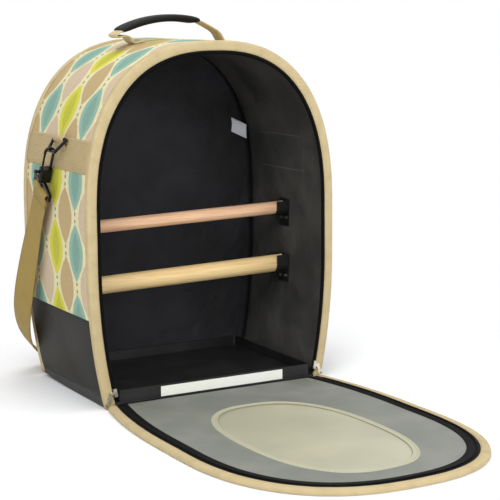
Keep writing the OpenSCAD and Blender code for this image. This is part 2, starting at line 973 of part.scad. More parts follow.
// Shoulder strap: flat webbing that hangs from one loop, lies behind the case and rises to the other.
// Each row is a point on its middle line and the direction of its width there, for the left half.
function hook_point(z) = [
    -ring_x - ring_drop * sin(ring_tilt) + z * cos(hook_lean) * sin(hook_out),
    -ring_y + hook_top_y - z * sin(hook_lean),
    ring_z - ring_drop * cos(ring_tilt) + z * cos(hook_lean) * cos(hook_out)];
hook_width = [
    -sin(swivel_turn) * cos(hook_out) + cos(swivel_turn) * sin(hook_lean) * sin(hook_out),
    cos(swivel_turn) * cos(hook_lean),
    sin(swivel_turn) * sin(hook_out) + cos(swivel_turn) * sin(hook_lean) * cos(hook_out)];
strap_route = [
    [hook_point(loop_bottom - soft_gap), hook_width],
    [hook_point(loop_bottom - 22), hook_width],
    [[-176, 49, 180], [-0.12, 0.9, 0.38]],
    [[-179, 61, 143], [-0.2, 0.9, 0.36]],
    [[-180, 73, 110], [-0.24, 0.88, 0.38]],
    [[-177, 88, 82], [-0.2, 0.89, 0.4]],
    [[-167, 107.5, 56], [-0.1, 0.93, 0.34]],
    [[-150.5, 127, 35], [0, 0.97, 0.24]],
    [[-127, 137, 17], [0, 0.99, 0.12]],
    [[-104, 144, 6], [0, 1, 0.04]],
    [[-80, 150, 2], [0, 1, 0]],
    [[-54, 155, 1.5], [-0.15, 1, 0]],
    [[-27, 159, 1.5], [-0.1, 1, 0]],
    [[0, 161, 1.5], [0, 1, 0]]];

function mirrored(row) = [[-row[0][0], row[0][1], row[0][2]], [-row[1][0], row[1][1], row[1][2]]];
route = concat(strap_route, [for (i = [len(strap_route) - 2:-1:0]) mirrored(strap_route[i])]);
function unit(v) = v / norm(v);
function run_at(i) = unit(route[min(i + 1, len(route) - 1)][0] - route[max(i - 1, 0)][0]);
function across(i) = unit(route[i][1] - run_at(i) * (route[i][1] * run_at(i)));
function facing(i) = cross(run_at(i), across(i));
strap_points = [for (i = [0:len(route) - 1])
    for (corner = [[-1, -1], [1, -1], [1, 1], [-1, 1]])
        route[i][0] + across(i) * (corner[0] * webbing_w / 2) + facing(i) * (corner[1] * webbing_t / 2)];
strap_last = 4 * (len(route) - 1);
strap_faces = concat(
    [[0, 1, 2], [0, 2, 3]],
    [for (i = [0:len(route) - 2]) for (k = [0:3]) [4 * i + k, 4 * i + 4 + k, 4 * i + 4 + (k + 1) % 4]],
    [for (i = [0:len(route) - 2]) for (k = [0:3]) [4 * i + k, 4 * i + 4 + (k + 1) % 4, 4 * i + (k + 1) % 4]],
    [[strap_last, strap_last + 2, strap_last + 1], [strap_last, strap_last + 3, strap_last + 2]]);

module shoulder_strap() {
    color([0.61, 0.54, 0.3])
        polyhedron(strap_points, strap_faces);
}

module strap_adjuster() {
    row = len(route) - 3;
    run = run_at(row);
    lean = atan2(-run[1], run[2]);
    turn = -asin(across(row)[0]);
    slot_t = webbing_t + 1.4;
    color([0.1, 0.1, 0.1])
        translate(route[row][0])
            rotate([lean, 0, 0])
                rotate(turn)
                    linear_extrude(14, center = true)
                        difference() {
                            rounded_square(slot_t + 4, webbing_w + 8, 2);
                            square([slot_t, webbing_w + 2], center = true);
                        }
}

gusset_shell();
side_boots();
base_pan();
back_panel();
back_boot();
wall_lining();
back_lining();
front_binding();
back_binding();
case_zip_tape();
case_zip_coil();
care_label();
side_band_left();
side_band_right();
ring_tab_left();
ring_tab_right();
handle_patch_left();
handle_patch_right();
handle_strap();
handle_grip();
upper_bracket_left();
upper_bracket_right();
lower_bracket_left();
lower_bracket_right();
bracket_screws();
upper_perch();
lower_perch();
floor_tray();
tray_strip();
door_panel();
door_lining();
door_binding();
door_zip_tape();
door_zip_coil();
window_pane();
window_trim();
window_welt();
hinge_tape();
zip_slider_left();
zip_slider_right();
zip_pull_left();
zip_pull_right();
ring_left();
ring_right();
hook_left();
hook_right();
swivel_eye_left();
swivel_eye_right();
hook_trigger_left();
hook_trigger_right();
strap_loop_left();
strap_loop_right();
shoulder_strap();
strap_adjuster();
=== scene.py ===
# %% [markdown]
# # Bird travel carrier
# A soft-sided carrier for a small bird stands with its front door laid open on the ground. Its hard
# fittings were built as solids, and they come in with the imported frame. Cloth, webbing, bindings and
# stitches are plain solids there or missing, so they are modelled here, in the same place and on the same
# bodies.

# %% Load the frame
import math

import bmesh
import bpy
import numpy as np
from mathutils import Matrix, Vector, noise


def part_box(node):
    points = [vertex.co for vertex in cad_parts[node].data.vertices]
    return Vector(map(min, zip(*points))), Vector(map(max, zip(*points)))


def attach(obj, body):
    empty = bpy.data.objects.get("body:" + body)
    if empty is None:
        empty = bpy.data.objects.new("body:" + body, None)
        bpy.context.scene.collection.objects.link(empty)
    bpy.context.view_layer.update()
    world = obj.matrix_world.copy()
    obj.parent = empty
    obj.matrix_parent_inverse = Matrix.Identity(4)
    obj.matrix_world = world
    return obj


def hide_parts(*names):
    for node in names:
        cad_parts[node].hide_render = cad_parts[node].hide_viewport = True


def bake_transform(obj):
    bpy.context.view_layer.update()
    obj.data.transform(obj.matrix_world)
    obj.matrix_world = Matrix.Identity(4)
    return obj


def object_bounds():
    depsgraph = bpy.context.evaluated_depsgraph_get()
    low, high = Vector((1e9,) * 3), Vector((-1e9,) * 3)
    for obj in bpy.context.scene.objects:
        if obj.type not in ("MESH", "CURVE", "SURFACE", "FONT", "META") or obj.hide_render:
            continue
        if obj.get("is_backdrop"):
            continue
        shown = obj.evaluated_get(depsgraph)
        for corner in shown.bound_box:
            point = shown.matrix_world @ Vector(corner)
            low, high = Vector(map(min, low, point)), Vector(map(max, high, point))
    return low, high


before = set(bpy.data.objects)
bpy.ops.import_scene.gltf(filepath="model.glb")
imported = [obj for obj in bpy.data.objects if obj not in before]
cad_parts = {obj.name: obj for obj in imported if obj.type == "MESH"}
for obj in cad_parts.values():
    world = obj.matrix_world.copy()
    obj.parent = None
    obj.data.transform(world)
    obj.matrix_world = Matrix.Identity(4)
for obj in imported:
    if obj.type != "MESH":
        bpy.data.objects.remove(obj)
cad_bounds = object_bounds()

# %% [markdown]
# ## Sizes
# Lengths are in metres. What can be measured on the frame is read from it, so that the sewn pieces stay
# on their solids. The other values repeat the driving sizes of the source.

# %% Sizes
MM = 0.001
HALF_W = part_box("front_binding")[1].x
CASE_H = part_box("front_binding")[1].z
FRONT_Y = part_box("front_binding")[0].y
BACK_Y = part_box("back_binding")[1].y
ARCH_RISE = 205 * MM
ARCH_POWER = 0.81
WAIST_Z = 162 * MM
SIDE_DRAW = 18.5 * MM
SIDE_R = (WAIST_Z ** 2 + SIDE_DRAW ** 2) / (2 * SIDE_DRAW)
SPRING_Z = CASE_H - ARCH_RISE
BOOT_H = 106 * MM
BASE_T = 7 * MM
BASE_RIM = 14 * MM
PROUD = 1.2 * MM
SHELL_IN = PROUD + 3 * MM
WALL_IN = SHELL_IN + 1.8 * MM
BINDING_W = 12 * MM
BINDING_T = 3 * MM
BINDING_WRAP = 7 * MM
ZIP_TAPE_W = 4 * MM
TAPE_Y = FRONT_Y + 0.5 * MM
COIL_INSET = BINDING_W + ZIP_TAPE_W / 2
HINGE_Y = FRONT_Y - 6 * MM
HINGE_Z = 6.4 * MM
DOOR_TAPE_W = 12 * MM
WINDOW_A = 82 * MM
WINDOW_B = 143 * MM
WINDOW_Z = 229 * MM
WINDOW_POWER = 0.8
WINDOW_X = -6 * MM
WEBBING_W = 38 * MM
WEBBING_T = 1.8 * MM
BAND_Z = 295 * MM
WELD = 0.01 * MM
SIDES = ((-1, "left"), (1, "right"))
print("case", round(2 * HALF_W, 3), "wide,", round(CASE_H, 3), "high")

# %% [markdown]
# Seen from the front, the case is an arch on sides that draw in a little towards the ground. The curve
# could be drawn point by point, but a rule is better here: an ellipse with squarer shoulders over an arc.
# Then each piece can ask for the width at its own height, drawn in by its own depth.

# %% Outline of the case
SIDE_STEPS = 26
ARCH_STEPS = 60


def arch(share):
    """Height of the arch, up to 1, at a share of its half-width. Width at a share of its height, too."""
    return (1 - min(share, 1.0) ** (2 / ARCH_POWER)) ** (ARCH_POWER / 2)


def half_at(z, inset=0.0):
    """Half-width of the outline at height z, drawn in by inset."""
    if z >= SPRING_Z:
        return (HALF_W - inset) * arch((z - SPRING_Z) / (ARCH_RISE - inset))
    if z >= WAIST_Z:
        return HALF_W - inset
    return HALF_W - inset - SIDE_R + math.sqrt(SIDE_R ** 2 - (WAIST_Z - z) ** 2)


def outline(inset, foot):
    """Points (x, z) from the left foot over the crown to the right foot."""
    right = [(half_at(z, inset), z) for z in np.linspace(foot, WAIST_Z, SIDE_STEPS)]
    right += [(HALF_W - inset, z) for z in np.linspace(WAIST_Z, SPRING_Z, 8)[1:-1]]
    for i in range(ARCH_STEPS):
        turn = math.pi / 2 * (i / ARCH_STEPS) ** 1.12
        right.append(((HALF_W - inset) * math.cos(turn) ** ARCH_POWER,
                      SPRING_Z + (ARCH_RISE - inset) * math.sin(turn) ** ARCH_POWER))
    return [(-x, z) for x, z in right] + [(0.0, CASE_H - inset)] + right[::-1]


def run_lengths(points):
    """Distance along a row of points, starting at 0."""
    steps = [math.dist(a, b) for a, b in zip(points, points[1:])]
    return np.concatenate([[0.0], np.cumsum(steps)])


def loop_lengths(points):
    """Distance along a closed row of points, up to its start again."""
    return run_lengths([*points, points[0]])


def there_and_back(widths):
    """Distances across one face of a strip, back across the other, and at the start again."""
    return np.concatenate([widths, widths[::-1], widths[:1]])


def shifted(x, y, shape, way=1):
    """A shape given in millimetres, moved to (x, y). With way -1 its first value counts backwards."""
    return [(x + way * a * MM, y + b * MM) for a, b in shape]


def opened(point):
    """Turns a point of the closed door down to where the door lies."""
    x, y, z = point
    return (x, HINGE_Y - (z - HINGE_Z), HINGE_Z + (y - HINGE_Y))


print("outline length", round(float(run_lengths(outline(0, 0))[-1]), 3))

# %% [markdown]
# ## Helpers for shading
# A shader is a graph of nodes, and wiring it node by node hides the sums behind it. Sock wraps a socket,
# so that shader maths reads as plain Python, and Tree adds any other node in one call.

# %% Node helpers
def maths(kind, swapped=False):
    """A method of Sock that adds one maths node."""
    def method(sock, *others):
        values = (*others, sock) if swapped else (sock, *others)
        return sock.tree.node("ShaderNodeMath", *values, operation=kind)
    return method


class Sock:
    __add__ = __radd__ = maths("ADD")
    __mul__ = __rmul__ = maths("MULTIPLY")
    __sub__ = maths("SUBTRACT")
    __rsub__ = maths("SUBTRACT", swapped=True)
    __truediv__ = maths("DIVIDE")
    __gt__ = maths("GREATER_THAN")
    __abs__ = maths("ABSOLUTE")
    sin = maths("SINE")
    floor = maths("FLOOR")
    fract = maths("FRACT")
    power = maths("POWER")

    def __init__(self, tree, socket):
        self.tree = tree
        self.socket = socket

    def siblings(self):
        """All outputs of the same node, by name."""
        return {other.name: Sock(self.tree, other) for other in self.socket.node.outputs}

    def clamped(self):
        return self.tree.node("ShaderNodeMath", self, 0.0, operation="ADD", use_clamp=True)

    def ramp(self, low, high):
        """Smooth step from 0 at low to 1 at high."""
        return self.tree.node("ShaderNodeMapRange", self, low, high, interpolation_type="SMOOTHSTEP")


class Tree:
    def __init__(self, tree):
        self.tree = tree

    def fill(self, target, value):
        """Links an input to a Sock, or gives it a plain value."""
        if isinstance(value, Sock):
            self.tree.links.new(value.socket, target)
        else:
            target.default_value = value

    def node(self, kind, *values, named=None, **settings):
        """Adds one node. Values fill its inputs in order, named fills them by name or number."""
        made = self.tree.nodes.new(kind)
        for key, value in settings.items():
            setattr(made, key, value)
        for target, value in zip(made.inputs, values):
            self.fill(target, value)
        for key, value in (named or {}).items():
            self.fill(made.inputs[key], value)
        return Sock(self, made.outputs[0])

    def mix(self, factor, a, b, blend="MIX"):
        """Mixes two colours."""
        first = self.node("ShaderNodeMix", named={0: factor, 6: a, 7: b}, data_type="RGBA", blend_type=blend)
        return Sock(self, first.socket.node.outputs[2])

    def noise(self, coords, scale, detail=3.0, rough=0.5):
        return self.node("ShaderNodeTexNoise",
                         named={"Vector": coords, "Scale": scale, "Detail": detail, "Roughness": rough})

    def split(self, vector):
        """The three parts of a vector."""
        return list(self.node("ShaderNodeSeparateXYZ", vector).siblings().values())

    def coords(self, kind="Object"):
        return self.node("ShaderNodeTexCoord").siblings()[kind]


def rgb(red, green, blue):
    """A colour given as it looks on screen, 0 to 255, as the linear values that shaders use."""
    def linear(value):
        value /= 255
        return value / 12.92 if value <= 0.04045 else ((value + 0.055) / 1.055) ** 2.4
    return (linear(red), linear(green), linear(blue), 1.0)


def darker(color, *shares):
    """A colour with each of its parts brought down to a share."""
    return (*(part * share for part, share in zip(color, shares)), 1)


def material(name, look, *given, **fixed):
    """A Principled material. The look returns its varying inputs, with Height for the bump. Tuples given to
    the look are colours as on screen, 0 to 255."""
    made = bpy.data.materials.new(name)
    made.use_nodes = True
    tree = Tree(made.node_tree)
    inputs = tree.tree.nodes["Principled BSDF"].inputs
    for key, value in fixed.items():
        inputs[key.replace("_", " ")].default_value = value
    parts = look(tree, *(rgb(*value) if isinstance(value, tuple) else value for value in given))
    if "Height" in parts:
        height, distance = parts.pop("Height")
        parts["Normal"] = tree.node("ShaderNodeBump",
                                    named={"Height": height, "Distance": distance, "Strength": 1.0})
    for key, value in parts.items():
        tree.fill(inputs[key], value)
    return made


def added(name, data):
    """A new object in the scene."""
    thing = bpy.data.objects.new(name, data)
    bpy.context.scene.collection.objects.link(thing)
    return thing

# %% [markdown]
# ## Camera, light and ground
# The camera stands where the photograph was taken: low, to the left of the opening, with a long lens. Its
# place was fitted to the outlines of the case and the door, so that the render can be laid over the
# photograph.

# %% Camera
FOCAL_PX = 1537.951
PICTURE_PX = 500.0
SENSOR = 36.0
CENTRE_PX = (259.354, 254.259)
camera_data = bpy.data.cameras.new("camera")
camera_data.sensor_width = SENSOR
camera_data.lens = FOCAL_PX / PICTURE_PX * SENSOR
camera_data.shift_x = 0.5 - CENTRE_PX[0] / PICTURE_PX
camera_data.shift_y = CENTRE_PX[1] / PICTURE_PX - 0.5
camera = added("camera", camera_data)
camera.location = (-0.84625, -1.71321, 0.47039)
camera.rotation_euler = (1.408023, 0.008460, -0.513475)
bpy.context.scene.camera = camera
print("camera lens", round(camera_data.lens, 1), "mm")

# %% [markdown]
# The photograph has soft light on pure white. Large lamps high on the left and above give the soft
# shadow, and weak ones in front light the inside. The ground is a flat plane that turns to plain white
# further out. A curved backdrop would have to be far larger for the same look.

# %% Light and ground
scene = bpy.context.scene
scene.view_settings.view_transform = "Standard"
world = bpy.data.worlds.new("studio")
scene.world = world
world.use_nodes = True


def straight_rays(tree):
    """1 for what is seen directly, in a mirror or through glass, and 0 for light that falls on things."""
    path = tree.node("ShaderNodeLightPath").siblings()
    return (path["Is Camera Ray"] + path["Is Glossy Ray"] + path["Is Transmission Ray"]).clamped()


sky = Tree(world.node_tree)
background = world.node_tree.nodes["Background"].inputs
seen = straight_rays(sky)
sky.fill(background["Color"], sky.mix(seen, (0.86, 0.88, 0.92, 1), (1, 1, 1, 1)))
sky.fill(background["Strength"], seen * 0.45 + 0.55)


def area_light(name, spot, target, size, power):
    light = bpy.data.lights.new(name, "AREA")
    light.shape = "RECTANGLE"
    light.size, light.size_y = size
    light.energy = power
    lamp = added(name, light)
    lamp.location = spot
    lamp.rotation_euler = (Vector(target) - Vector(spot)).to_track_quat("-Z", "Y").to_euler()


area_light("key", (-1.5, -1.9, 1.9), (0, 0, 0.2), (1.4, 1.4), 34)
area_light("top", (0.1, -0.3, 2.3), (0, -0.2, 0), (2.4, 2.0), 30)
area_light("fill", (1.9, -1.4, 1.1), (0, 0, 0.2), (1.4, 1.2), 4)
area_light("front", (0.3, -2.6, 0.9), (0, 0, 0.2), (1.6, 1.0), 12)


FLOOR_SHADE = (0.27, 0.52)
FLOOR_MIDDLE_Y = -0.13


def floor_look(tree):
    """Pale ground that takes the shadow close by, and turns to plain white further out."""
    x, y, _ = tree.split(tree.coords())
    far = (x.power(2) + (y - FLOOR_MIDDLE_Y).power(2)).power(0.5).ramp(*FLOOR_SHADE)
    pale = Sock(tree, tree.tree.nodes["Principled BSDF"].outputs[0])
    white = tree.node("ShaderNodeEmission", (1, 1, 1, 1), 1.0)
    both = tree.node("ShaderNodeMixShader", straight_rays(tree) * far, pale, white)
    tree.fill(tree.tree.nodes["Material Output"].inputs["Surface"], both)
    return {"Base Color": (0.97, 0.97, 0.97, 1), "Roughness": 0.9, "Specular IOR Level": 0.0}


bpy.ops.mesh.primitive_plane_add(size=14, location=(0, 0, -0.0004))
ground = bpy.context.object
ground.name = "ground"
ground.data.materials.append(material("ground_white", floor_look))
ground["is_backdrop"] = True
print("light and ground are in place")

# %% [markdown]
# ## Looks
# Each finish is a short function that builds one material. Cloth reads UVs in metres, so that a weave
# keeps its real size on every piece. A picture of the cloth could be used instead, but a rule stays sharp
# at any distance.

# %% Cloth patterns
def waves(part, pitch):
    """Bumps and hollows along one direction, -1 to 1, with one bump in two pitches."""
    return (part * (math.pi / pitch)).sin()


def plain_weave(tree, uv, pitch):
    """Over-and-under bumps, 0 to 1."""
    u, v, _ = tree.split(uv)
    return waves(u, pitch) * waves(v, pitch) * 0.5 + 0.5

# %% [markdown]
# The gusset, the back and the outside of the door are canvas with a print of pointed ovals in two
# staggered sets. The print is worked out from the UVs: each cell of the pattern says how far inside its
# oval a point lies, and that mask picks the colour.

# %% Printed cloth
PRINT_PITCH = 83 * MM
PRINT_COLUMN = 30 * MM
PRINT_START = (35 * MM, 6 * MM)
OVAL_LONG = 35 * MM
OVAL_WIDE = 21 * MM
TEAL = rgb(146, 184, 168)
LIME = rgb(220, 212, 62)
TAUPE = rgb(212, 190, 160)
PEACH = rgb(196, 170, 122)
CREAM = rgb(235, 229, 182)
DOT_BROWN = rgb(120, 92, 68)


def oval_set(tree, u, v, shift, *colors):
    """One staggered set of pointed ovals: how far inside one a point is, its colour, and the dot at its tip."""
    along = (u / PRINT_PITCH + shift).fract() - 0.5
    rows = v / (2 * PRINT_COLUMN) + shift
    across = rows.fract() - 0.5
    long_part = along * (PRINT_PITCH / OVAL_LONG)
    wide_part = abs(across) * (2 * PRINT_COLUMN / OVAL_WIDE)
    inside = 1.0 - (wide_part + long_part * long_part)
    tip = abs(abs(along) - OVAL_LONG / PRINT_PITCH * 1.06) * (PRINT_PITCH / (2.6 * MM))
    side = abs(across) * (2 * PRINT_COLUMN / (2.2 * MM))
    dot = 1.0 - (tip * tip + side * side)
    return inside, tree.mix((rows.floor() * 0.5).fract() > 0.25, *colors), dot


def printed_cloth(tree):
    uv = tree.coords("UV")
    wander = tree.noise(uv, 55.0, 2.0)
    u, v, _ = tree.split(uv)
    u = u + (wander - 0.5) * (3 * MM) - PRINT_START[0]
    v = v + (wander - 0.5) * (2 * MM) - PRINT_START[1]
    inside_a, color_a, dot_a = oval_set(tree, u, v, 0.0, TEAL, LIME)
    inside_b, color_b, dot_b = oval_set(tree, u, v, 0.5, TAUPE, PEACH)
    grain = tree.noise(uv, 240.0, 4.0)
    base = tree.mix(grain.ramp(0.3, 0.75) * 0.35, CREAM, rgb(221, 211, 160))
    base = tree.mix(inside_b.ramp(0.0, 0.1), base, color_b)
    base = tree.mix(inside_a.ramp(0.0, 0.1), base, color_a)
    core_a = tree.mix(inside_a.ramp(0.35, 0.6) * 0.35, base, rgb(150, 186, 180), "MULTIPLY")
    base = tree.mix(inside_a > 0.0, base, core_a)
    for dot in (dot_a, dot_b):
        base = tree.mix(dot.ramp(0.0, 0.35) * 0.8, base, DOT_BROWN)
    weave = plain_weave(tree, uv, 0.75 * MM)
    base = tree.mix((weave * 0.14 + grain * 0.2).clamped(), base, rgb(132, 124, 108), "MULTIPLY")
    soft = tree.noise(uv, 14.0, 2.0)
    return {"Base Color": base, "Roughness": grain * 0.2 + 0.68,
            "Height": (weave * 0.5 + soft * 2.0, 0.35 * MM)}

# %% [markdown]
# Binding tape, webbing, lining, smooth vinyl, zip tape and thread differ mostly in their weave. A wave or a
# noise gives each its ribs or grain, and the same value feeds the colour and the bump, so that the two agree.
# On the lining that value is its folds, so its colour holds painted shade: lighter on the crests, darker in the
# hollows.

# %% Other cloth
BINDING_FOLD = 7 * MM
RIB_PITCH = 1.9 * MM


def binding_look(tree, dark, light, worn):
    """Slanted ridges that turn back at the middle of the tape."""
    uv = tree.coords("UV")
    u, v, _ = tree.split(uv)
    wave = waves(u + abs(v - BINDING_FOLD), 1.1 * MM) * 0.5 + 0.5
    wear = tree.noise(uv, 60.0, 4.0)
    base = tree.mix(wear.ramp(0.35, 0.8) * 0.45, tree.mix(wave, dark, light), worn)
    return {"Base Color": base, "Roughness": 0.72, "Height": (wave + wear * 0.6, 0.3 * MM)}


def webbing_look(tree, dark, light):
    """Ribs along the webbing, each crossed by picks that start a little later than its neighbour's."""
    uv = tree.coords("UV")
    u, v, _ = tree.split(uv)
    rib = abs(waves(v, RIB_PITCH))
    pick = waves(u + (v * (1 / RIB_PITCH)).floor() * (0.7 * MM), 0.75 * MM) * 0.5 + 0.5
    cloud = tree.noise(uv, 40.0, 4.0)
    base = tree.mix(rib * 0.6 + pick * 0.25, dark, light)
    base = tree.mix(cloud.ramp(0.4, 0.8) * 0.3, base, dark)
    return {"Base Color": base, "Roughness": 0.7, "Height": (rib * 0.8 + pick * 0.5, 0.4 * MM)}


def lining_look(tree, dark, light, fold=0.6):
    folds_and_shade = tree.noise(tree.coords(), 16.0, 3.0, 0.55)
    weave = plain_weave(tree, tree.coords("UV"), 0.5 * MM)
    # Painted shade: the colour follows the folds, lighter on their crests and darker in their hollows.
    base = tree.mix(folds_and_shade.ramp(0.3, 0.75), dark, light)
    base = tree.mix(weave * 0.25, base, (0, 0, 0, 1))
    return {"Base Color": base, "Roughness": 0.55 + folds_and_shade * 0.15,
            "Height": (folds_and_shade * 6.0 * fold + weave * 0.12, 1.6 * MM)}


def vinyl_look(tree, dark, light):
    spot = tree.coords()
    grain = tree.node("ShaderNodeTexVoronoi", named={"Vector": spot, "Scale": 620.0, "Randomness": 1.0})
    cloud = tree.noise(spot, 18.0, 4.0)
    base = tree.mix(cloud.ramp(0.3, 0.8), dark, light)
    return {"Base Color": base, "Roughness": cloud * 0.18 + 0.44,
            "Height": (grain.ramp(0.0, 0.5) * 0.25 + cloud * 3.0, 0.5 * MM)}


def tape_look(tree, dark, light):
    rib = abs(waves(tree.split(tree.coords("UV"))[0], 1.1 * MM))
    return {"Base Color": tree.mix(rib, dark, light), "Roughness": 0.75, "Height": (rib, 0.2 * MM)}


def thread_look(tree, color):
    twist = tree.noise(tree.coords(), 1500.0, 1.0)
    return {"Base Color": tree.mix(twist, color, darker(color, 0.6, 0.6, 0.6)), "Roughness": 0.6}

# %% [markdown]
# Film, plastic, metal and wood have no weave, so they read Object coordinates. Slow noise makes patches
# of two close colours, and fine noise breaks up the shine. The table names each finish once, with the
# colours it goes between.

# %% Hard finishes
def film_look(tree, dark, light):
    spot = tree.coords()
    cloud = tree.noise(spot, 9.0)
    fine = tree.noise(spot, 900.0, 2.0)
    base = tree.mix(cloud.ramp(0.3, 0.75), dark, light)
    return {"Base Color": base, "Roughness": cloud * 0.2 + 0.42,
            "Height": (cloud * 5.0 + fine * 0.1, 0.8 * MM)}


def plastic_look(tree, dark, light, rough, grain=700.0):
    spot = tree.coords()
    fine = tree.noise(spot, grain, 2.0)
    base = tree.mix(tree.noise(spot, 25.0).ramp(0.35, 0.75), dark, light)
    return {"Base Color": base, "Roughness": fine * 0.15 + rough, "Height": (fine, 0.06 * MM)}


def metal_look(tree, dark, light, rough=0.3):
    cloud = tree.noise(tree.coords(), 120.0, 4.0)
    base = tree.mix(cloud.ramp(0.35, 0.7), dark, light)
    return {"Base Color": base, "Roughness": cloud * 0.25 + rough - 0.1, "Height": (cloud, 0.05 * MM)}


def wood_look(tree, pale, warm):
    """Grain and fine lines, both drawn out along the perch."""
    def drawn(along, across):
        return tree.node("ShaderNodeMapping", named={"Vector": tree.coords(), "Scale": (along, across, across)})

    grain = tree.noise(drawn(2.5, 60.0), 6.0, 6.0, 0.6)
    lines = tree.noise(drawn(4.0, 400.0), 2.5, 4.0)
    base = tree.mix(grain.ramp(0.35, 0.7), pale, warm)
    base = tree.mix(lines.ramp(0.52, 0.72) * 0.4, base, darker(warm, 0.62, 0.55, 0.5))
    return {"Base Color": base, "Roughness": grain * 0.2 + 0.42, "Height": (lines + grain, 0.08 * MM)}


LOOKS = {
    "print": material("printed_canvas", printed_cloth),
    "binding": material("binding_tape", binding_look, (186, 164, 118), (214, 196, 152), (168, 150, 112)),
    "webbing": material("webbing_beige", webbing_look, (158, 136, 92), (206, 184, 136)),
    # The handle's webbing is a lighter copy of the beige webbing: painted light that brightens its shaded side.
    "handle_web": material("webbing_handle_lightened", webbing_look, (186, 164, 118), (234, 214, 170)),
    "strap": material("webbing_strap", webbing_look, (134, 108, 46), (180, 154, 80)),
    "lining": material("nylon_black", lining_look, (16, 16, 21), (42, 42, 49)),
    # The inner walls wear a lighter copy of the black lining: painted light, where the lamps fall on the walls
    # inside.
    "wall": material("nylon_lining_lit", lining_look, (62, 62, 61), (88, 87, 83)),
    "door_lining": material("nylon_grey", lining_look, (128, 132, 122), (146, 147, 138), 0.3),
    "vinyl": material("vinyl_dark", vinyl_look, (13, 12, 7), (34, 32, 22), Specular_IOR_Level=0.2),
    "tape": material("zip_tape", tape_look, (5, 4, 5), (12, 10, 11), Specular_IOR_Level=0.12),
    "thread": material("thread_beige", thread_look, (206, 188, 146)),
    # A light grey thread for the stitches inside the walls; it also paints the small glints of light on them.
    "thread_and_glint": material("thread_grey_with_glint", thread_look, (168, 166, 158)),
    # The film's cream-grey is partly its own tint and partly painted shade: the shaded ground seen through a
    # clear film, drawn opaque.
    "film": material("window_film", film_look, (170, 168, 144), (184, 181, 156), Specular_IOR_Level=0.3),
    "piping": material("window_piping", thread_look, (196, 193, 166)),
    "base": material("base_board", plastic_look, (24, 23, 22), (40, 38, 36), 0.5),
    "tray": material("tray_plastic", plastic_look, (20, 20, 20), (34, 34, 34), 0.38),
    "bracket": material("bracket_plastic", plastic_look, (18, 18, 18), (32, 32, 32), 0.4),
    "strip": material("strip_white", plastic_look, (253, 254, 240), (255, 255, 248), 0.45),
    "label": material("label_satin", plastic_look, (214, 218, 226), (238, 240, 244), 0.5, 1500.0),
    "coil": material("zip_coil", plastic_look, (4, 4, 4), (10, 9, 10), 0.5, Specular_IOR_Level=0.15),
    "grip": material("grip_foam", plastic_look, (10, 10, 9), (24, 23, 20), 0.6, 1100.0,
                     Specular_IOR_Level=0.25),
    "steel": material("screw_steel", metal_look, (150, 150, 150), (205, 205, 200), Metallic=1.0),
    "zip_metal": material("zip_metal", metal_look, (190, 184, 168), (232, 228, 216), Metallic=1.0),
    "hook": material("hook_enamel", metal_look, (14, 13, 12), (34, 32, 30), 0.28, Metallic=0.6),
    "wood_upper": material("wood_pink", wood_look, (250, 208, 168), (234, 180, 140)),
    "wood_lower": material("wood_pale", wood_look, (252, 224, 164), (242, 202, 140)),
}
print(len(LOOKS), "finishes")

# %% [markdown]
# ## Fittings from the frame
# The base, tray, perches, brackets, rings, hooks and zip sliders have crisp shapes that their solids
# already give. Modelling them again could only bring errors, so they keep their meshes and get a finish.

# %% Finishes of the hard pieces
CAD_LOOKS = {
    "base_pan": "base", "floor_tray": "tray", "tray_strip": "strip", "bracket_screws": "steel",
    "upper_perch": "wood_upper", "lower_perch": "wood_lower", "strap_adjuster": "hook",
}
for side in ("left", "right"):
    CAD_LOOKS |= {f"upper_bracket_{side}": "bracket", f"lower_bracket_{side}": "bracket",
                  f"zip_slider_{side}": "zip_metal", f"zip_pull_{side}": "zip_metal",
                  f"ring_{side}": "hook", f"hook_{side}": "hook", f"swivel_eye_{side}": "hook",
                  f"hook_trigger_{side}": "hook"}
for node, look in CAD_LOOKS.items():
    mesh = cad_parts[node].data
    mesh.materials.clear()
    mesh.materials.append(LOOKS[look])
print(len(CAD_LOOKS), "pieces keep their solids")

# %% [markdown]
# ## Helpers for the sewn pieces
# A sewn piece is a thin closed skin. It could be a flat sheet with a Solidify modifier, but the two faces of
# padded cloth differ, so both are given as points. These helpers make the mesh, turn its faces outwards, attach
# the piece to the body it rides on and hide the solids it stands for.

# %% Mesh helpers
def cleaned(mesh, weld=0.0):
    """Welds points closer than weld, and turns all faces outwards."""
    work = bmesh.new()
    work.from_mesh(mesh)
    if weld:
        bmesh.ops.remove_doubles(work, verts=work.verts, dist=weld)
    bmesh.ops.recalc_face_normals(work, faces=work.faces)
    work.to_mesh(mesh)
    work.free()


def new_piece(name, verts, faces, look, uvs=None):
    """A smooth mesh with outward normals. uvs is one (u, v) for each corner of each face."""
    mesh = bpy.data.meshes.new(name)
    mesh.from_pydata([tuple(v) for v in verts], [], faces)
    if uvs:
        mesh.uv_layers.new(name="UVMap").data.foreach_set("uv", np.array(uvs, float).ravel())
    mesh.materials.append(LOOKS[look])
    cleaned(mesh)
    mesh.polygons.foreach_set("use_smooth", [True] * len(mesh.polygons))
    return added(name, mesh)


def place(piece, body, slot, *nodes):
    """Says what a piece rides on and which solids it stands for. slot is not used.
    A piece between two bodies has no body of its own here."""
    if body:
        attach(piece, body)
    if nodes:
        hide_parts(*nodes)

# %% [markdown]
# Most of the sewn pieces are a tube through rows of points: a profile carried along the outline of the
# case, or a strip with an upper and a lower face. One function joins the rows and gives them their UVs.

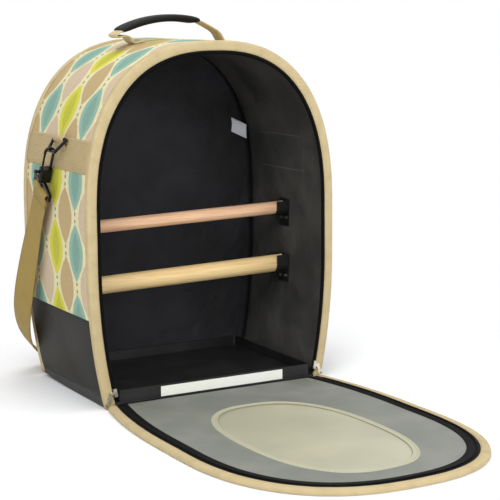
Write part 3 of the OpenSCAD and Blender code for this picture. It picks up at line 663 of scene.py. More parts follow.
# %% Grids and sweeps
def grid_piece(name, rows, look, us, vs, caps=True):
    """A tube through rows of points, each closed on itself. us has one value for each row, and vs one for
    each point of a row and one more for its start again. caps fills both ends."""
    width = len(rows[0])
    faces, uvs = [], []

    def add_face(corners):
        faces.append([i * width + j % width for i, j in corners])
        uvs.extend((us[i], vs[j]) for i, j in corners)

    for i in range(len(rows) - 1):
        for j in range(width):
            add_face([(i, j), (i, j + 1), (i + 1, j + 1), (i + 1, j)])
    if caps:
        add_face([(0, j) for j in range(width)])
        add_face([(len(rows) - 1, j) for j in reversed(range(width))])
    return new_piece(name, [point for row in rows for point in row], faces, look, uvs)


def slab(name, look, us, ts, upper, lower, caps=True):
    """A strip with two faces. upper(u, t) and lower(u, t) give their points at each u along and t across."""
    rows = [[upper(u, t) for t in ts] + [lower(u, t) for t in ts[::-1]] for u in us]
    return grid_piece(name, rows, look, us, there_and_back(ts - ts[0]), caps)


def swept(name, profile, foot, look, wobble=None, turn=None):
    """A closed profile of (y, inset) points carried along the outline."""
    lines = [outline(inset, foot) for _, inset in profile]
    us = run_lengths(outline(0.0, foot))
    rows = []
    for i, run in enumerate(us):
        row = []
        for (y, _), line in zip(profile, lines):
            point = Vector((line[i][0], y, line[i][1]))
            if wobble:
                point += wobble(point, run)
            row.append(turn(point) if turn else point)
        rows.append(row)
    return grid_piece(name, rows, look, us, loop_lengths(profile))


def flat_uvs(piece, up):
    """UVs of a flat piece, with u along up and v along X, so that a print runs straight across it."""
    layer = piece.data.uv_layers["UVMap"]
    for loop in piece.data.loops:
        spot = piece.data.vertices[loop.vertex_index].co
        layer.data[loop.index].uv = (spot.dot(up), spot.x)
    return piece

# %% [markdown]
# Cloth is never quite flat. A gentle noise moves its points by a millimetre or two, which catches the light
# better than a bump in the material. Modifiers are made real at once, so that the pieces are plain meshes.

# %% Ripples, modifiers and joining
def soft_noise(point, size, height, seed=0.0):
    """A gentle bump field, at most height."""
    spot = Vector((point[0] / size + seed, point[1] / size, point[2] / size))
    return noise.noise(spot) * height


def real_mesh(thing):
    """The mesh of an object with its modifiers made real."""
    depsgraph = bpy.context.evaluated_depsgraph_get()
    return bpy.data.meshes.new_from_object(thing.evaluated_get(depsgraph))


def applied(piece):
    """The piece with its modifiers made real."""
    mesh = real_mesh(piece)
    piece.modifiers.clear()
    piece.data = mesh
    return piece


def joined(name, pieces):
    """One piece out of several."""
    with bpy.context.temp_override(active_object=pieces[0], selected_editable_objects=pieces,
                                   selected_objects=pieces):
        bpy.ops.object.join()
    pieces[0].name = name
    return pieces[0]

# %% [markdown]
# A stitch and a tooth of a zip are both a small bead, set many times along a path. A loop could place the
# copies, but Geometry Nodes do it in one pass and keep the spacing even round the bends. The tree ends in
# Realize Instances and Set Material, so that the beads become one plain mesh.

# %% Stitch node group
def path_group():
    """Puts one small bead after another along curves: a stitch, or a tooth of a zip."""
    group = bpy.data.node_groups.new("beads_on_path", "GeometryNodeTree")
    for name, kind in (("Geometry", "Geometry"), ("Pitch", "Float"), ("Size", "Vector"), ("Up", "Vector"),
                       ("Material", "Material")):
        group.interface.new_socket(name, in_out="INPUT", socket_type="NodeSocket" + kind)
    group.interface.new_socket("Geometry", in_out="OUTPUT", socket_type="NodeSocketGeometry")
    tree = Tree(group)
    given = tree.node("NodeGroupInput").siblings()
    points = tree.node("GeometryNodeCurveToPoints", given["Geometry"], mode="LENGTH",
                       named={"Length": given["Pitch"]})
    bead = tree.node("GeometryNodeMeshUVSphere", named={"Segments": 8, "Rings": 6, "Radius": 0.5})
    along = tree.node("FunctionNodeAlignRotationToVector", axis="X",
                      named={"Vector": points.siblings()["Tangent"]})
    upright = tree.node("FunctionNodeAlignRotationToVector", axis="Z", pivot_axis="X",
                        named={"Rotation": along, "Vector": given["Up"]})
    placed = tree.node("GeometryNodeInstanceOnPoints",
                       named={"Points": points, "Instance": bead, "Rotation": upright, "Scale": given["Size"]})
    smooth = tree.node("GeometryNodeSetShadeSmooth", tree.node("GeometryNodeRealizeInstances", placed))
    done = tree.node("GeometryNodeSetMaterial", smooth, named={"Material": given["Material"]})
    tree.fill(group.nodes.new("NodeGroupOutput").inputs[0], done)
    return group


BEADS = path_group()


def beads(name, paths, pitch, size, up, look):
    """A mesh of beads along each path of points."""
    curve = bpy.data.curves.new(name + "_path", "CURVE")
    curve.dimensions = "3D"
    for path_points in paths:
        spline = curve.splines.new("POLY")
        spline.points.add(len(path_points) - 1)
        for point, spot in zip(spline.points, path_points):
            point.co = (*spot, 1.0)
    holder = added(name + "_path", curve)
    modifier = holder.modifiers.new("beads", "NODES")
    modifier.node_group = BEADS
    values = {"Pitch": pitch, "Size": size, "Up": up, "Material": LOOKS[look]}
    for item in BEADS.interface.items_tree:
        if item.in_out == "INPUT" and item.name in values:
            modifier[item.identifier] = values[item.name]
    bpy.context.view_layer.update()
    mesh = real_mesh(holder)
    mesh.name = name
    bpy.data.objects.remove(holder)
    return added(name, mesh)


def outline_path(inset, y, foot, turn=tuple):
    """The outline as a path in space."""
    return [turn((x, y, z)) for x, z in outline(inset, foot)]


print("helpers are ready")

# %% [markdown]
# ## Shell of the case
# The gusset is the printed wall that runs from one side over the top to the other. Below it the sides are
# smooth and dark. Both swell a little between their bindings, as padded cloth does. The gusset is a
# profile swept along the outline, and the lower sides are strips, because they thin out at their edges.

# %% Gusset and lower sides
SKIN_Y = (FRONT_Y + BINDING_T, BACK_Y - BINDING_T)
SHELL_BACK = SKIN_Y[1]


def depth_share(point):
    """How far a point lies between the bindings, from 0 in front to 1 behind."""
    return min(max((point.y - SKIN_Y[0]) / (SKIN_Y[1] - SKIN_Y[0]), 0.0), 1.0)


def outward(point):
    """The direction away from the case at a point of its skin."""
    return Vector((point.x, 0, max(point.z - SPRING_Z, 0.0))).normalized()


def belly(point, height=1.1 * MM, ripple=0.5 * MM):
    """Soft outward bulge between the bindings, with small ripples."""
    share = depth_share(point)
    swell = math.sin(math.pi * share) ** 0.6 * height
    swell += soft_noise(point, 0.05, ripple) * min(1.0, 6 * share, 6 * (1 - share))
    return outward(point) * swell


def skin_point(side, y, z):
    """A point on the swollen skin of one side."""
    point = Vector((side * half_at(z, PROUD), y, z))
    return point + belly(point)


def shell_profile(inset, depth, y0, y1, steps=14):
    """Profile of a wall of the given depth from y0 to y1."""
    ys = np.linspace(y0, y1, steps)
    return [(y, inset) for y in ys] + [(y, inset + depth) for y in ys[::-1]]


gusset = swept("gusset", shell_profile(PROUD, 3 * MM, *SKIN_Y), BOOT_H, "print",
               wobble=lambda point, run: belly(point))
place(gusset, "case", "print_fabric", "gusset_shell")


def boot_side(side):
    """One smooth lower side, from the rim of the base up to the print."""
    heights = np.linspace(BASE_RIM - 2 * MM, BOOT_H + 1.5 * MM, 22)

    def outer(z, y):
        edge = min((z - heights[0]) / (8 * MM), (heights[-1] - z) / (5 * MM), 1.0)
        point = Vector((side * half_at(z, PROUD - 0.7 * MM * edge), y, z))
        return point + belly(point, 0.9 * MM * edge, 0.9 * MM)

    return slab("boot", "vinyl", heights, np.linspace(*SKIN_Y, 20), outer,
                lambda z, y: (side * half_at(z, SHELL_IN - 0.4 * MM), y, z))


boots = joined("lower_sides", [boot_side(-1), boot_side(1)])
place(boots, "case", "boot_vinyl", "side_boots")
print("gusset", len(gusset.data.polygons), "faces, lower sides", len(boots.data.polygons), "faces")

# %% [markdown]
# The back is a padded panel: print above, smooth below, with a dark lining on its inside. It fills the
# outline, so the width of its rows follows the arch. Its UVs are laid flat, so that the print runs
# straight across it.

# %% Back panel
def back_sheet(name, node, slot, look, inset, y_out, y_in, z0, z1=CASE_H, crown=1.0 * MM,
               x_steps=30, z_steps=36, ripple=0.5 * MM):
    """A flat-backed panel that fills the outline between two heights, crowned on the y_out side."""
    def outer(z, s):
        width = half_at(z, inset)
        room = min(1.0, (1 - abs(s)) * width / (25 * MM), (z - z0) / (12 * MM), (CASE_H - z) / (25 * MM))
        lift = math.sin(max(room, 0.0) * math.pi / 2)
        bump = crown + soft_noise((s * width, y_out, z), 0.045, ripple)
        return (s * width, y_out + math.copysign(bump * lift, y_out - y_in), z)

    heights = np.linspace(z0, min(z1, CASE_H - inset - 0.4 * MM), z_steps)
    sheet = slab(name, look, heights, np.linspace(-1, 1, x_steps), outer,
                 lambda z, s: (s * half_at(z, inset), y_in, z))
    place(flat_uvs(sheet, Vector((0, 0, 1))), "case", slot, node)


back_sheet("back_print", "back_panel", "print_fabric", "print", SHELL_IN, SHELL_BACK,
           SHELL_BACK - 3 * MM, BOOT_H)
back_sheet("back_lower", "back_boot", "boot_vinyl", "vinyl", SHELL_IN, SHELL_BACK + 0.5 * MM,
           SHELL_BACK - 3 * MM, BASE_T, BOOT_H + 1.5 * MM, z_steps=16, ripple=0.9 * MM)

# %% [markdown]
# The lining hangs inside the gusset in slack folds. A cloth simulation could make them, but folds made
# from noise stay clear of the perches and the tray, and come out the same in each render.

# %% Dark lining
def lining_wobble(point, run=0.0):
    """Slack folds of the lining, in from the wall."""
    share = depth_share(point)
    fold = abs(soft_noise(point, 0.07, 2.4 * MM, 3.0))
    fold += abs(soft_noise((point.x, point.y * 0.4, point.z), 0.03, 1.2 * MM))
    return outward(point) * -fold * min(1.0, 5 * share, 8 * (1 - share))


# The walls get the lighter copy of the lining, which paints the light falling on them.
lining = swept("lining_wall", shell_profile(SHELL_IN + 0.6 * MM, 1.1 * MM, SKIN_Y[0], SHELL_BACK - 3 * MM, 26),
               BASE_T, "wall", wobble=lining_wobble)
place(lining, "case", "lining", "wall_lining")
back_sheet("lining_back", "back_lining", "lining", "lining", WALL_IN, SHELL_BACK - 4.6 * MM,
           SHELL_BACK - 3.2 * MM, BASE_T, crown=0.8 * MM, x_steps=44, z_steps=52, ripple=1.8 * MM)
print("linings are in")

# %% [markdown]
# ## Bindings and zip
# A woven tape wraps the front and the back edge of the case. Its section is drawn once, with the round
# fold at its edge, and swept along the outline.

# %% Bindings of the case
def wavy(height, across=1, seed=0.0):
    """A small wave of a tape's face along its run. With across at 0 it is the same over the whole width."""
    return lambda point, run: Vector((0, soft_noise((run, point.y * across, 0), 0.03, height, seed), 0))


def case_binding(name, node, y_face, way, width, foot):
    """Binding with its face at y_face. It wraps back over the side of the case (way 1), or forwards (-1)."""
    thick, wrap, skin = BINDING_T / MM, (BINDING_T + BINDING_WRAP) / MM, PROUD / MM + 0.1
    shape = [(wrap, skin), (wrap, 0.35), (wrap - 0.8, 0), (2.2, -0.1), (0.9, 0.35), (0.2, 1.5), (0, 3.4),
             (-0.1, width * 0.55), (0, width * 0.82), (0.35, width - 0.6), (1.2, width), (thick, width),
             (thick, skin)]
    tape = swept(name, shifted(y_face, 0, shape, way), foot, "binding", wavy(0.35 * MM))
    place(tape, "case", "binding", node)


case_binding("front_tape", "front_binding", FRONT_Y, 1, 12, 1 * MM)
case_binding("back_tape", "back_binding", BACK_Y, -1, 8, 6 * MM)

# %% [markdown]
# One half of the zip is sewn into the mouth of the case and the other to the door. Each is a flat tape
# with a coil of small teeth on it, so one function makes both.

# %% Zip of the case
TOOTH = (0.95 * MM, 2.0 * MM, 1.9 * MM)


def zip_half(body, tape_name, y, inset0, inset1, foot, coil_y, coil_foot, up, turn=tuple):
    """One half of the zip: its tape, and its coil as a row of small teeth."""
    profile = [(y, inset0), (y, inset1), (y + 1.4 * MM, inset1), (y + 1.4 * MM, inset0)]
    place(swept(tape_name, profile, foot, "tape", turn=turn), body, "zip_tape", f"{body}_zip_tape")
    path = [outline_path(COIL_INSET, coil_y, coil_foot, turn)]
    coil = beads(f"{body}_coil", path, 1.5 * MM, TOOTH, up, "coil")
    place(coil, body, "zip_coil", f"{body}_zip_coil")
    print(body, "zip:", len(coil.data.polygons), "faces of teeth")


zip_half("case", "case_tape", TAPE_Y, BINDING_W - 0.4 * MM, BINDING_W + ZIP_TAPE_W, 11 * MM,
         TAPE_Y - 1.0 * MM, 11 * MM, (0, -1, 0))

# %% [markdown]
# ## Door
# The door has the outline of the case and folds down at its foot. It is drawn closed, where the outline
# gives its shape, and each point is then turned down to the ground like its solids. A large oval window
# is let into it, so its sheets run from the edge to that oval.

# %% Door outline and window
DOOR_FOOT = HINGE_Z + 0.3 * MM


def on_oval(x, z, grow=0.0):
    """The point of the window's oval that lies in the direction of (x, z) from its centre."""
    dx, dz = x - WINDOW_X, z - WINDOW_Z
    power = 2 / WINDOW_POWER
    size = (abs(dx) / (WINDOW_A + grow)) ** power + (abs(dz) / (WINDOW_B + grow)) ** power
    share = size ** (-1 / power)
    return WINDOW_X + dx * share, WINDOW_Z + dz * share


def door_sheet(name, node, slot, look, inset, y_low, y_high, steps, lift=None):
    """A sheet from the edge of the door to the window. lift(share, x, z) raises its upper face."""
    edge = outline(inset, DOOR_FOOT)
    edge += [(x, DOOR_FOOT) for x in np.linspace(edge[-1][0], edge[0][0], 24)[1:]]
    inner = [on_oval(x, z) for x, z in edge]

    def face(i, s, y, raised=None):
        x, z = (a + (b - a) * s for a, b in zip(edge[i], inner[i]))
        return opened((x, y + (raised(s, x, z) if raised else 0.0), z))

    sheet = slab(name, look, range(len(edge)), np.linspace(0, 1, steps), lambda i, s: face(i, s, y_high, lift),
                 lambda i, s: face(i, s, y_low), caps=False)
    cleaned(sheet.data, WELD)
    place(flat_uvs(sheet, Vector((0, -1, 0))), "door", slot, node)

# %% [markdown]
# The door has a printed panel outside and a grey lining inside, with padding between them. The lining
# swells between the zip and the window, and that is what shows from above.

# %% Door panel and lining
DOOR_OUT = HINGE_Y - HINGE_Z
PADDING = (1.15, 4.75)
PANEL_OUT, PANEL_IN = (DOOR_OUT + part * MM for part in PADDING)


def lining_lift(share, x, z):
    """Padding swells between the zip and the window, with slack folds."""
    room = min(1.0, share * 6, (1 - share) * 6)
    return math.sin(math.pi * share) ** 0.5 * 0.9 * MM + soft_noise((x, z, 0), 0.035, 0.7 * MM, 7.0) * room


door_sheet("door_pad", "door_panel", "print_fabric", "print", 2 * MM, PANEL_OUT, PANEL_IN - 0.1 * MM, 12)
door_sheet("door_sheet", "door_lining", "door_lining", "door_lining", BINDING_W + DOOR_TAPE_W - 0.3 * MM,
           PANEL_IN, PANEL_IN + 1.0 * MM, 26, lining_lift)

# %% [markdown]
# The binding of the door folds over the whole thickness of the panel, so its section is rounder than that
# of the case. The zip lies just inside it, along the edge of the lining.

# %% Door binding and zip
DOOR_TAPE_SHAPE = [(0.3, 0.8), (0, 3), (0, 9), (0.3, 11.6), (PADDING[0], 12), (PADDING[0], 2), (PADDING[1], 2),
                   (PADDING[1], 10.6), (5.8, 10.5), (6.4, 8.6), (6.5, 5.5), (6.2, 2.6), (5.2, 0.6), (3.2, 0),
                   (1.3, 0.1)]
door_tape = swept("door_tape", shifted(DOOR_OUT, 0, DOOR_TAPE_SHAPE), DOOR_FOOT, "binding",
                  wavy(0.2 * MM, 0, 5.0), opened)
place(door_tape, "door", "binding", "door_binding")
zip_half("door", "door_zip", PANEL_IN, BINDING_W - 1.6 * MM, BINDING_W + DOOR_TAPE_W + 0.4 * MM, DOOR_FOOT,
         PANEL_IN + 2.4 * MM, 21 * MM, (0, 0, 1), opened)

# %% [markdown]
# The window is a pale film in a sewn ring. Its cream-grey colour is partly the film's own tint and partly
# painted shade: the shaded ground seen through a clear film, which is drawn opaque here. The film sags a
# little, so it is a disc made of rings, with a thin wall from Solidify. The piped ring and the tape on the
# outside are profiles carried round the oval, and their ends are welded.

# %% Window
def oval_points(grow, count):
    """Points round the window's oval, grown a little."""
    turns = [2 * math.pi * i / count for i in range(count)]
    return [on_oval(WINDOW_X + 0.1 * math.cos(turn), WINDOW_Z + 0.17 * math.sin(turn), grow) for turn in turns]


def oval_ring(name, node, profile, slot, look, count=140):
    """A closed profile of (grow, y) points carried round the window's oval."""
    lines = [oval_points(grow, count) for grow, _ in profile]
    rows = []
    for i in [*range(count), 0]:
        rows.append([opened((line[i][0], y, line[i][1])) for line, (_, y) in zip(lines, profile)])
    us = run_lengths([row[0] for row in rows])
    ring = grid_piece(name, rows, look, us, loop_lengths(profile), caps=False)
    cleaned(ring.data, WELD)
    place(ring, "door", slot, node)


def closed_y(box):
    """From where to where a box on the open door reaches in y, once the door is closed."""
    return [corner.z - HINGE_Z + HINGE_Y for corner in box]


def window_film(rings=14, count=96):
    """A thin film that sags a little."""
    film_y = sum(closed_y(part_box("window_pane"))) / 2
    verts = [opened((WINDOW_X, film_y, WINDOW_Z))]
    for share in [(ring + 1) / rings for ring in range(rings)]:
        for x, z in oval_points(-1 * MM, count):
            sag = soft_noise((x * share, z * share, 0), 0.06, 0.5 * MM, 2.0) * (1 - share ** 4)
            verts.append(opened((WINDOW_X + (x - WINDOW_X) * share, film_y + sag,
                                 WINDOW_Z + (z - WINDOW_Z) * share)))
    around = [(i, (i + 1) % count) for i in range(count)]
    faces = [(0, 1 + a, 1 + b) for a, b in around]
    for first in range(1, 1 + (rings - 1) * count, count):
        faces += [(first + a, first + b, first + b + count, first + a + count) for a, b in around]
    piece = new_piece("window_film", verts, faces, "film")
    thick = piece.modifiers.new("thick", "SOLIDIFY")
    thick.thickness = 0.8 * MM
    thick.offset = 0
    return applied(piece)


place(window_film(), "door", "window_film", "window_pane")
trim_low, trim_high = closed_y(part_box("window_trim"))
TRIM_SHAPE = [(-4, 0), (-3.9, 0.6), (-3.3, 0.8), (-2.6, 0.5), (-2, 0.2),
              (1, 0.2), (1.8, 0.7), (2.6, 1), (3.4, 0.8), (4, 0)]
trim = [(grow * MM, trim_low + share * (trim_high - trim_low)) for grow, share in TRIM_SHAPE]
oval_ring("window_edge", "window_trim", trim, "window_edge", "piping")
WELT_SHAPE = [(-2, 1), (-1.6, 0.3), (2, 0), (5.6, 0.3), (6, 1)]
welt = shifted(0, closed_y(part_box("window_welt"))[0], WELT_SHAPE)
oval_ring("window_welt_tape", "window_welt", welt, "binding", "binding")
print("door and window are in")

# %% [markdown]
# ## Webbing
# Bands, tabs, strap and handle are flat woven webbing. A curve with a flat bevel could follow the same
# path, but it may roll over in the bends. So a ribbon is built from a route that also gives the direction
# of its width.

# %% Ribbon helper
def smooth_route(rows, steps):
    """Rows of numbers, made denser with a curve through them all."""
    rows = [np.array(row, float) for row in rows]
    out = []
    for i in range(len(rows) - 1):
        p0, p1, p2, p3 = (rows[min(max(i + k, 0), len(rows) - 1)] for k in (-1, 0, 1, 2))
        for t in np.arange(steps) / steps:
            out.append(0.5 * (2 * p1 + (p2 - p0) * t + (2 * p0 - 5 * p1 + 4 * p2 - p3) * t ** 2
                              + (3 * p1 - p0 - 3 * p2 + p3) * t ** 3))
    return out + [rows[-1]]


def ribbon(name, route, look, width, thick, across=7):
    """Flat webbing along a route. Each row gives a middle point and then the direction of the width."""
    middles = [Vector(row[:3]) for row in route]
    rows = []
    for i, middle in enumerate(middles):
        run = (middles[min(i + 1, len(route) - 1)] - middles[max(i - 1, 0)]).normalized()
        wide = Vector(route[i][3:])
        wide = (wide - run * wide.dot(run)).normalized()
        up = run.cross(wide)
        section = []
        for side in (1, -1):
            for s in np.linspace(-1, 1, across)[::side]:
                edge = (1 - abs(s) ** 6) ** 0.5 * 0.55 + 0.45
                section.append(middle + wide * (s * width / 2) + up * (side * thick / 2 * edge))
        rows.append(section)
    return grid_piece(name, rows, look, run_lengths(middles), there_and_back(np.linspace(0, width, across)))


def flat_route(points, wide):
    """A route whose width has one direction all along."""
    return [[*point, *wide] for point in points]


def bend(x, z, radius, start, sweep, count):
    """Points of an arc round (x, z), from start on, with both angles in degrees."""
    angles = [math.radians(start + i * (sweep / (count - 1))) for i in range(count)]
    return [(x + radius * math.cos(angle), z + radius * math.sin(angle)) for angle in angles]

# %% [markdown]
# The strap runs from a hook on each side down behind the case and over the ground. Each half is a sheet with no
# body of its own here.

# %% Shoulder strap
# The route repeats the points of the source: middle of the strap and direction of its width, left half.
LEAN, OUT, TURN = math.radians(27), math.radians(2), math.radians(2)
RING_Y = -14 * MM
RING_DROP, RING_TILT = 18 * MM, math.radians(40)
RING_Z = BAND_Z + WEBBING_W / 2 - 2 * MM
RING_ROD_R = 1.9 * MM
SLACK = 0.3 * MM
RING_X = half_at(RING_Z, PROUD) + 2 * WEBBING_T + RING_ROD_R + SLACK


def hook_frame(side):
    """Middle of the ring's lower bar, with Z along the hook, for the left side or its mirror image."""
    base = Matrix.Translation((-RING_X - RING_DROP * math.sin(RING_TILT), RING_Y + 5 * MM,
                               RING_Z - RING_DROP * math.cos(RING_TILT)))
    turned = base @ Matrix.Rotation(OUT, 4, "Y") @ Matrix.Rotation(LEAN, 4, "X")
    return Matrix.Diagonal((-side, 1, 1, 1)) @ turned


EYE_BAR = -55 * MM
LOOP_END = EYE_BAR - 16 * MM
BAR_R = 3.6 * 0.72 * MM
SWIVEL = Matrix.Rotation(TURN, 4, "Z")


def strap_rows(side):
    """Route of one half of the strap, from its loop down and round behind the case."""
    turned = hook_frame(-1) @ SWIVEL
    starts = [turned @ Vector((0, 0, drop)) for drop in (LOOP_END - SLACK, LOOP_END - 22 * MM)]
    rows = flat_route(starts, turned.to_3x3() @ Vector((0, 1, 0)))
    rows += [[x * MM, y * MM, z * MM, *wide] for x, y, z, *wide in STRAP_ROUTE]
    return [[-side * x, y, z, -side * a, b, c] for x, y, z, a, b, c in rows]


STRAP_ROUTE = [
    (-176, 49, 180, -0.12, 0.9, 0.38), (-179, 61, 143, -0.2, 0.9, 0.36), (-180, 73, 110, -0.24, 0.88, 0.38),
    (-177, 88, 82, -0.2, 0.89, 0.4), (-167, 107.5, 56, -0.1, 0.93, 0.34), (-150.5, 127, 35, 0, 0.97, 0.24),
    (-127, 137, 17, 0, 0.99, 0.12), (-104, 144, 6, 0, 1, 0.04), (-80, 150, 2, 0, 1, 0),
    (-54, 155, 1.5, -0.15, 1, 0), (-27, 159, 1.5, -0.1, 1, 0), (0, 161, 1.5, 0, 1, 0),
]
for side, word in SIDES:
    route = smooth_route(strap_rows(side), 7)
    half_strap = ribbon(f"shoulder_strap_{word}", route, "strap", WEBBING_W, WEBBING_T, 9)
    length = float(run_lengths([row[:3] for row in route])[-1])
    place(half_strap, None, "webbing", "shoulder_strap")
    top = Vector(route[0][:3])
    low = Vector(route[20][:3])
    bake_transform(half_strap)
    print("strap half", word, round(length, 3), "m")

# %% [markdown]
# On each side a tab holds the ring on a band of webbing, and the strap ends in a loop round the bar of
# the swivel eye. Tabs and loops are routes with an arc in them. The band follows the swollen skin of the
# case.

# %% Strap loops and ring tabs
def strap_loop(side, word):
    """Webbing that folds round the bar of the swivel eye."""
    turned = hook_frame(side) @ SWIVEL
    radius = BAR_R + SLACK + WEBBING_T / 2
    gap = WEBBING_T / 2
    down = [(gap, LOOP_END), (gap, (LOOP_END + EYE_BAR) / 2), (gap * 1.2, EYE_BAR - radius * 1.5)]
    local = down + bend(0, EYE_BAR, radius, -62, 304, 15) + [(-x, z) for x, z in down[::-1]]
    route = flat_route([turned @ Vector((x, 0, z)) for x, z in local], turned.to_3x3() @ Vector((0, 1, 0)))
    loop = ribbon(f"strap_end_{word}", route, "strap", WEBBING_W, WEBBING_T)
    place(loop, f"{word}_ring", "webbing", f"strap_loop_{word}")


def ring_tab(side, word):
    """Webbing tab that holds the ring on the side band."""
    radius = RING_ROD_R + SLACK + WEBBING_T / 2
    wall = half_at(RING_Z - 6 * MM, PROUD - WEBBING_T) + WEBBING_T * 0.6
    low = RING_Z - 13 * MM
    points = [(half_at(low, PROUD - WEBBING_T) + 0.5 * MM, low), (wall + 0.6 * MM, RING_Z - 8 * MM)]
    points += bend(RING_X, RING_Z, radius, -58, 238, 12)
    points.append((half_at(RING_Z - 5 * MM, PROUD - WEBBING_T) + 0.4 * MM, RING_Z - 4 * MM))
    route = flat_route([(side * x, RING_Y, z) for x, z in points], (0, 1, 0))
    tab = ribbon(f"ring_tab_web_{word}", route, "webbing", 30 * MM, WEBBING_T)
    place(tab, "case", "webbing", f"ring_tab_{word}")


def side_band(side, word):
    """Webbing band across the side of the case."""
    heights = np.linspace(BAND_Z - WEBBING_W / 2, BAND_Z + WEBBING_W / 2, 14)
    depths = np.linspace(FRONT_Y + BINDING_T + BINDING_WRAP - 1 * MM, SHELL_BACK - BINDING_WRAP + 1 * MM, 30)

    def away(y, z, distance):
        direction = Vector((side, 0, 0.35 if z > SPRING_Z else 0)).normalized()
        return skin_point(side, y, z) + direction * distance

    def outer(y, z):
        edge = 1 - abs((z - BAND_Z) / (WEBBING_W / 2)) ** 8
        return away(y, z, WEBBING_T * (0.35 + 0.65 * edge) - 0.5 * MM)

    band = slab(f"side_band_web_{word}", "webbing", depths, heights, outer, lambda y, z: away(y, z, -0.8 * MM))
    place(band, "case", "webbing", f"side_band_{word}")


for side, word in SIDES:
    strap_loop(side, word)
    ring_tab(side, word)
    side_band(side, word)
print("straps, tabs and bands are in")

# %% [markdown]
# The handle is webbing that rises from two sewn patches, folds back and runs through a padded grip. The cover
# of the grip settles over its filling in a cloth simulation, so that it looks soft.

# %% Handle
ANCHOR_X = 59 * MM
HANDLE_W = 25 * MM
HANDLE_T = 2.4 * MM
GRIP_LEN, GRIP_SAG, GRIP_T = 105 * MM, 9 * MM, 7.5 * MM
GRIP_R = (GRIP_LEN ** 2 / 4 + GRIP_SAG ** 2) / (2 * GRIP_SAG)
GRIP_HALF = math.asin(GRIP_LEN / 2 / GRIP_R)
GRIP_TILT = math.radians(6)
GRIP_MID = (-24 * MM, CASE_H + 25 * MM)
GRIP_CENTRE = (GRIP_MID[0] + GRIP_R * math.sin(GRIP_TILT), GRIP_MID[1] - GRIP_R * math.cos(GRIP_TILT))


def grip_point(angle, radius=GRIP_R):
    """A point (x, z) of the grip's arc."""
    turn = math.pi / 2 + GRIP_TILT + angle
    return GRIP_CENTRE[0] + radius * math.cos(turn), GRIP_CENTRE[1] + radius * math.sin(turn)


def arch_z(x, inset=0.0):
    """Height of the arched top at x."""
    return SPRING_Z + (ARCH_RISE - inset) * arch(abs(x) / (HALF_W - inset))


PATCH_TOP = PROUD - 2.5 * MM
HANDLE_AXIS_Z = arch_z(ANCHOR_X - HANDLE_T / 2, PATCH_TOP) + 6.5 * MM


def handle_route():
    """From flat on the left patch, round the fold and through the grip, and down on to the right patch."""
    def flat(*xs):
        return [(x * MM, arch_z(x * MM, PATCH_TOP) + HANDLE_T / 2) for x in xs]

    left = flat(-46, -52, -57) + shifted(0, HANDLE_AXIS_Z, [(-61.5, -2.4), (-65, 2), (-70, 3.7)])
    fold = grip_point(GRIP_HALF + math.radians(1.5))
    left += shifted(*fold, [(2, -4.8), (-2, -4.6), (-3.3, -3.1), (-2.5, -1.4)])
    end = GRIP_HALF + math.radians(1)
    arc = [grip_point(angle) for angle in np.linspace(end, -end, 16)]
    right = shifted(0, HANDLE_AXIS_Z, [(52, 9), (58, 4), (62, -2.6)]) + flat(66, 70, 74)
    return smooth_route([[x, 0, z, 0, 1, 0] for x, z in left + arc + right], 4)


# The handle webbing wears the lighter copy of the webbing, which paints light on its shaded side.
handle_web = ribbon("handle_web", handle_route(), "handle_web", HANDLE_W, HANDLE_T)
place(handle_web, None, "webbing", "handle_strap")
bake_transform(handle_web)


def grip_pad():
    """A padded sleeve round the middle of the handle."""
    rows = []
    angles = np.linspace(GRIP_HALF, -GRIP_HALF, 48)
    for i, angle in enumerate(angles):
        end = min(i, len(angles) - 1 - i) / 4
        plump = 1.0 - 0.28 * max(0.0, 1 - end) ** 2
        row = []
        for turn in np.arange(28) * (2 * math.pi / 28):
            across = math.copysign(abs(math.cos(turn)) ** 0.55, math.cos(turn)) * 14 * MM
            lift = math.copysign(abs(math.sin(turn)) ** 0.8, math.sin(turn)) * GRIP_T / 2 * plump
            x, z = grip_point(angle, GRIP_R + lift)
            row.append((x, across * (0.94 + 0.06 * plump), z))
        rows.append(row)
    us = run_lengths([grip_point(angle) for angle in angles])
    return grid_piece("grip_pad", rows, "grip", us, loop_lengths([point[1:] for point in rows[24]]))


def puffed(piece, pressure=4.0, frames=20, most=0.8 * MM):
    """Lets the cover of a padded piece settle as cloth over its filling. No point moves further than most."""
    remesh = piece.modifiers.new("remesh", "REMESH")
    remesh.mode, remesh.voxel_size, remesh.use_smooth_shade = "VOXEL", 1.6 * MM, True
    applied(piece)
    piece.data.materials.clear()
    piece.data.materials.append(LOOKS["grip"])
    rest = [vertex.co.copy() for vertex in piece.data.vertices]
    cloth = piece.modifiers.new("cloth", "CLOTH")
    cloth.settings.use_pressure = True
    cloth.settings.uniform_pressure_force = pressure
    cloth.settings.effector_weights.gravity = 0.0
    cloth.settings.quality = 6
    cloth.point_cache.frame_start, cloth.point_cache.frame_end = 1, frames
    for frame_number in range(1, frames + 1):
        scene.frame_set(frame_number)
    applied(piece)
    scene.frame_set(1)
    for vertex, start in zip(piece.data.vertices, rest):
        move = vertex.co - start
        if move.length > most:
            vertex.co = start + move.normalized() * most
    smooth = piece.modifiers.new("smooth", "SUBSURF")
    smooth.levels = smooth.render_levels = 1
    return applied(piece)


grip = puffed(grip_pad())
place(grip, "handle", "grip_foam", "handle_grip")


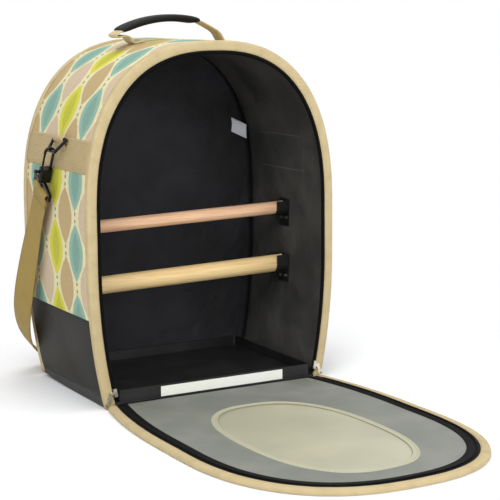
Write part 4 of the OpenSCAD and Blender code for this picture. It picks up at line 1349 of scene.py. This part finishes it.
def handle_patch(side, word):
    """Webbing patch sewn over the foot of the handle."""
    long, wide = 16 * MM, 13.5 * MM

    def face(u, y, inset, drop):
        x = side * ANCHOR_X + u
        return (x, y, arch_z(x, inset) - drop)

    def upper(u, y):
        edge = 1 - abs(u / long) ** 6
        return face(u, y, PROUD - 2.5 * MM * (0.3 + 0.7 * edge), 0.7 * MM if abs(y) > 0.95 * wide else 0)

    patch = slab(f"patch_web_{word}", "webbing", np.linspace(-long, long, 15), np.linspace(-wide, wide, 9),
                 upper, lambda u, y: face(u, y, PROUD, 0.5 * MM))
    place(patch, "case", "webbing", f"handle_patch_{word}")


for side, word in SIDES:
    handle_patch(side, word)
print("handle is in, axis at", round(HANDLE_AXIS_Z, 4))

# %% [markdown]
# ## Small sewn pieces
# A strip of tape joins the door to the case as its hinge. A blank care label hangs from the lining. Both are
# small grids, fitted to the boxes of their solids.

# %% Hinge and label
hinge_low, hinge_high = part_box("hinge_tape")
hinge_rows = []
for x in np.linspace(hinge_low.x, hinge_high.x, 60):
    row = []
    for s in np.linspace(0, 1, 9):
        y = hinge_low.y + (hinge_high.y - hinge_low.y) * s
        lift = 0.2 * MM * math.sin(math.pi * s) + soft_noise((x, y, 0), 0.02, 0.15 * MM)
        row.append((x, y, hinge_high.z + lift))
    hinge_rows.append(row + [(x, hinge_high.y, hinge_low.z), (x, hinge_low.y, hinge_low.z)])
hinge = grid_piece("hinge_cloth", hinge_rows, "tape", np.linspace(0, hinge_high.x - hinge_low.x, 60),
                   loop_lengths([point[1:] for point in hinge_rows[0]]))
place(hinge, "case", "zip_tape", "hinge_tape")

LABEL_DROP = 10 * MM
label_low, label_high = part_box("care_label")


def label_point(s, t, back=-0.15 * MM):
    """A point of the care label, s of the way to the right and t of the way down."""
    size = label_high - label_low
    wave = 0.5 * MM * math.sin(3 * s) + 0.3 * MM * math.sin(4 * t)
    return (label_low.x + size.x * s, label_high.y - size.y * s + wave + back,
            label_high.z - LABEL_DROP * s - (size.z - LABEL_DROP) * t)


label = slab("blank_label", "label", np.linspace(0, 1, 10), np.linspace(0, 1, 8), label_point,
             lambda s, t: label_point(s, t, 0.15 * MM))
place(label, "case", "label", "care_label")

# %% [markdown]
# Rows of stitches hold the bindings, the bands and the lining. They follow the outlines of the pieces
# that they hold, a hair above the surface.

# %% Stitches
STITCH = (2.3 * MM, 0.55 * MM, 0.5 * MM)
STITCH_PITCH = 3.2 * MM


def side_lines(heights, y0, y1, skin):
    """Lines from y0 to y1 on both sides. skin(side, y, z) gives their points."""
    return [[skin(side, y, z) for y in np.linspace(y0, y1, 40)] for side, _ in SIDES for z in heights]


def on_band(side, y, z):
    return skin_point(side, y, z) + Vector((side * (WEBBING_T - 0.45 * MM), 0, 0.3 * MM))


def on_lining(side, y, z):
    point = Vector((side * half_at(z, WALL_IN), y, z))
    return point + lining_wobble(point)


front_rows = [outline_path(BINDING_W - 1.6 * MM, FRONT_Y - 0.02 * MM, 5 * MM)]
wrap_rows = [outline_path(-0.02 * MM, FRONT_Y + BINDING_T + BINDING_WRAP - 1.4 * MM, 5 * MM),
             outline_path(-0.02 * MM, BACK_Y - BINDING_T - BINDING_WRAP + 1.4 * MM, 9 * MM)]
band_heights = [BAND_Z + way * (WEBBING_W / 2 - 2.2 * MM) for way in (-1, 1)]
band_rows = side_lines(band_heights, FRONT_Y + 11 * MM, SHELL_BACK - 8 * MM, on_band)
# The rows inside the walls are real stitches, drawn large and in light thread, so that they also carry painted
# glints of light.
inner_rows = side_lines((258 * MM, 302 * MM), -45 * MM, 57 * MM, on_lining)
stitches = joined("case_stitches", [
    beads("inner_rows", inner_rows, 6 * MM, (3 * MM, 0.8 * MM, 0.8 * MM), (1, 0, 0), "thread_and_glint"),
    beads("front_row", front_rows, STITCH_PITCH, STITCH, (0, -1, 0), "thread"),
    beads("wrap_rows", wrap_rows, STITCH_PITCH, STITCH, (0, 1, 0), "thread"),
    beads("band_rows", band_rows, STITCH_PITCH, STITCH, (1, 0, 0), "thread"),
])
place(stitches, "case", "binding")
door_rows = [outline_path(BINDING_W - 3.2 * MM, HINGE_Y - 0.05 * MM, 9 * MM, opened)]
door_stitches = beads("door_stitches", door_rows, STITCH_PITCH, STITCH, (0, 0, 1), "thread")
place(door_stitches, "door", "binding")
print("stitches:", len(stitches.data.polygons) + len(door_stitches.data.polygons), "faces")

# %% Finish
def corners(bounds):
    return [list(corner) for corner in bounds]


{"cad": corners(cad_bounds), "visual": corners(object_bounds())}
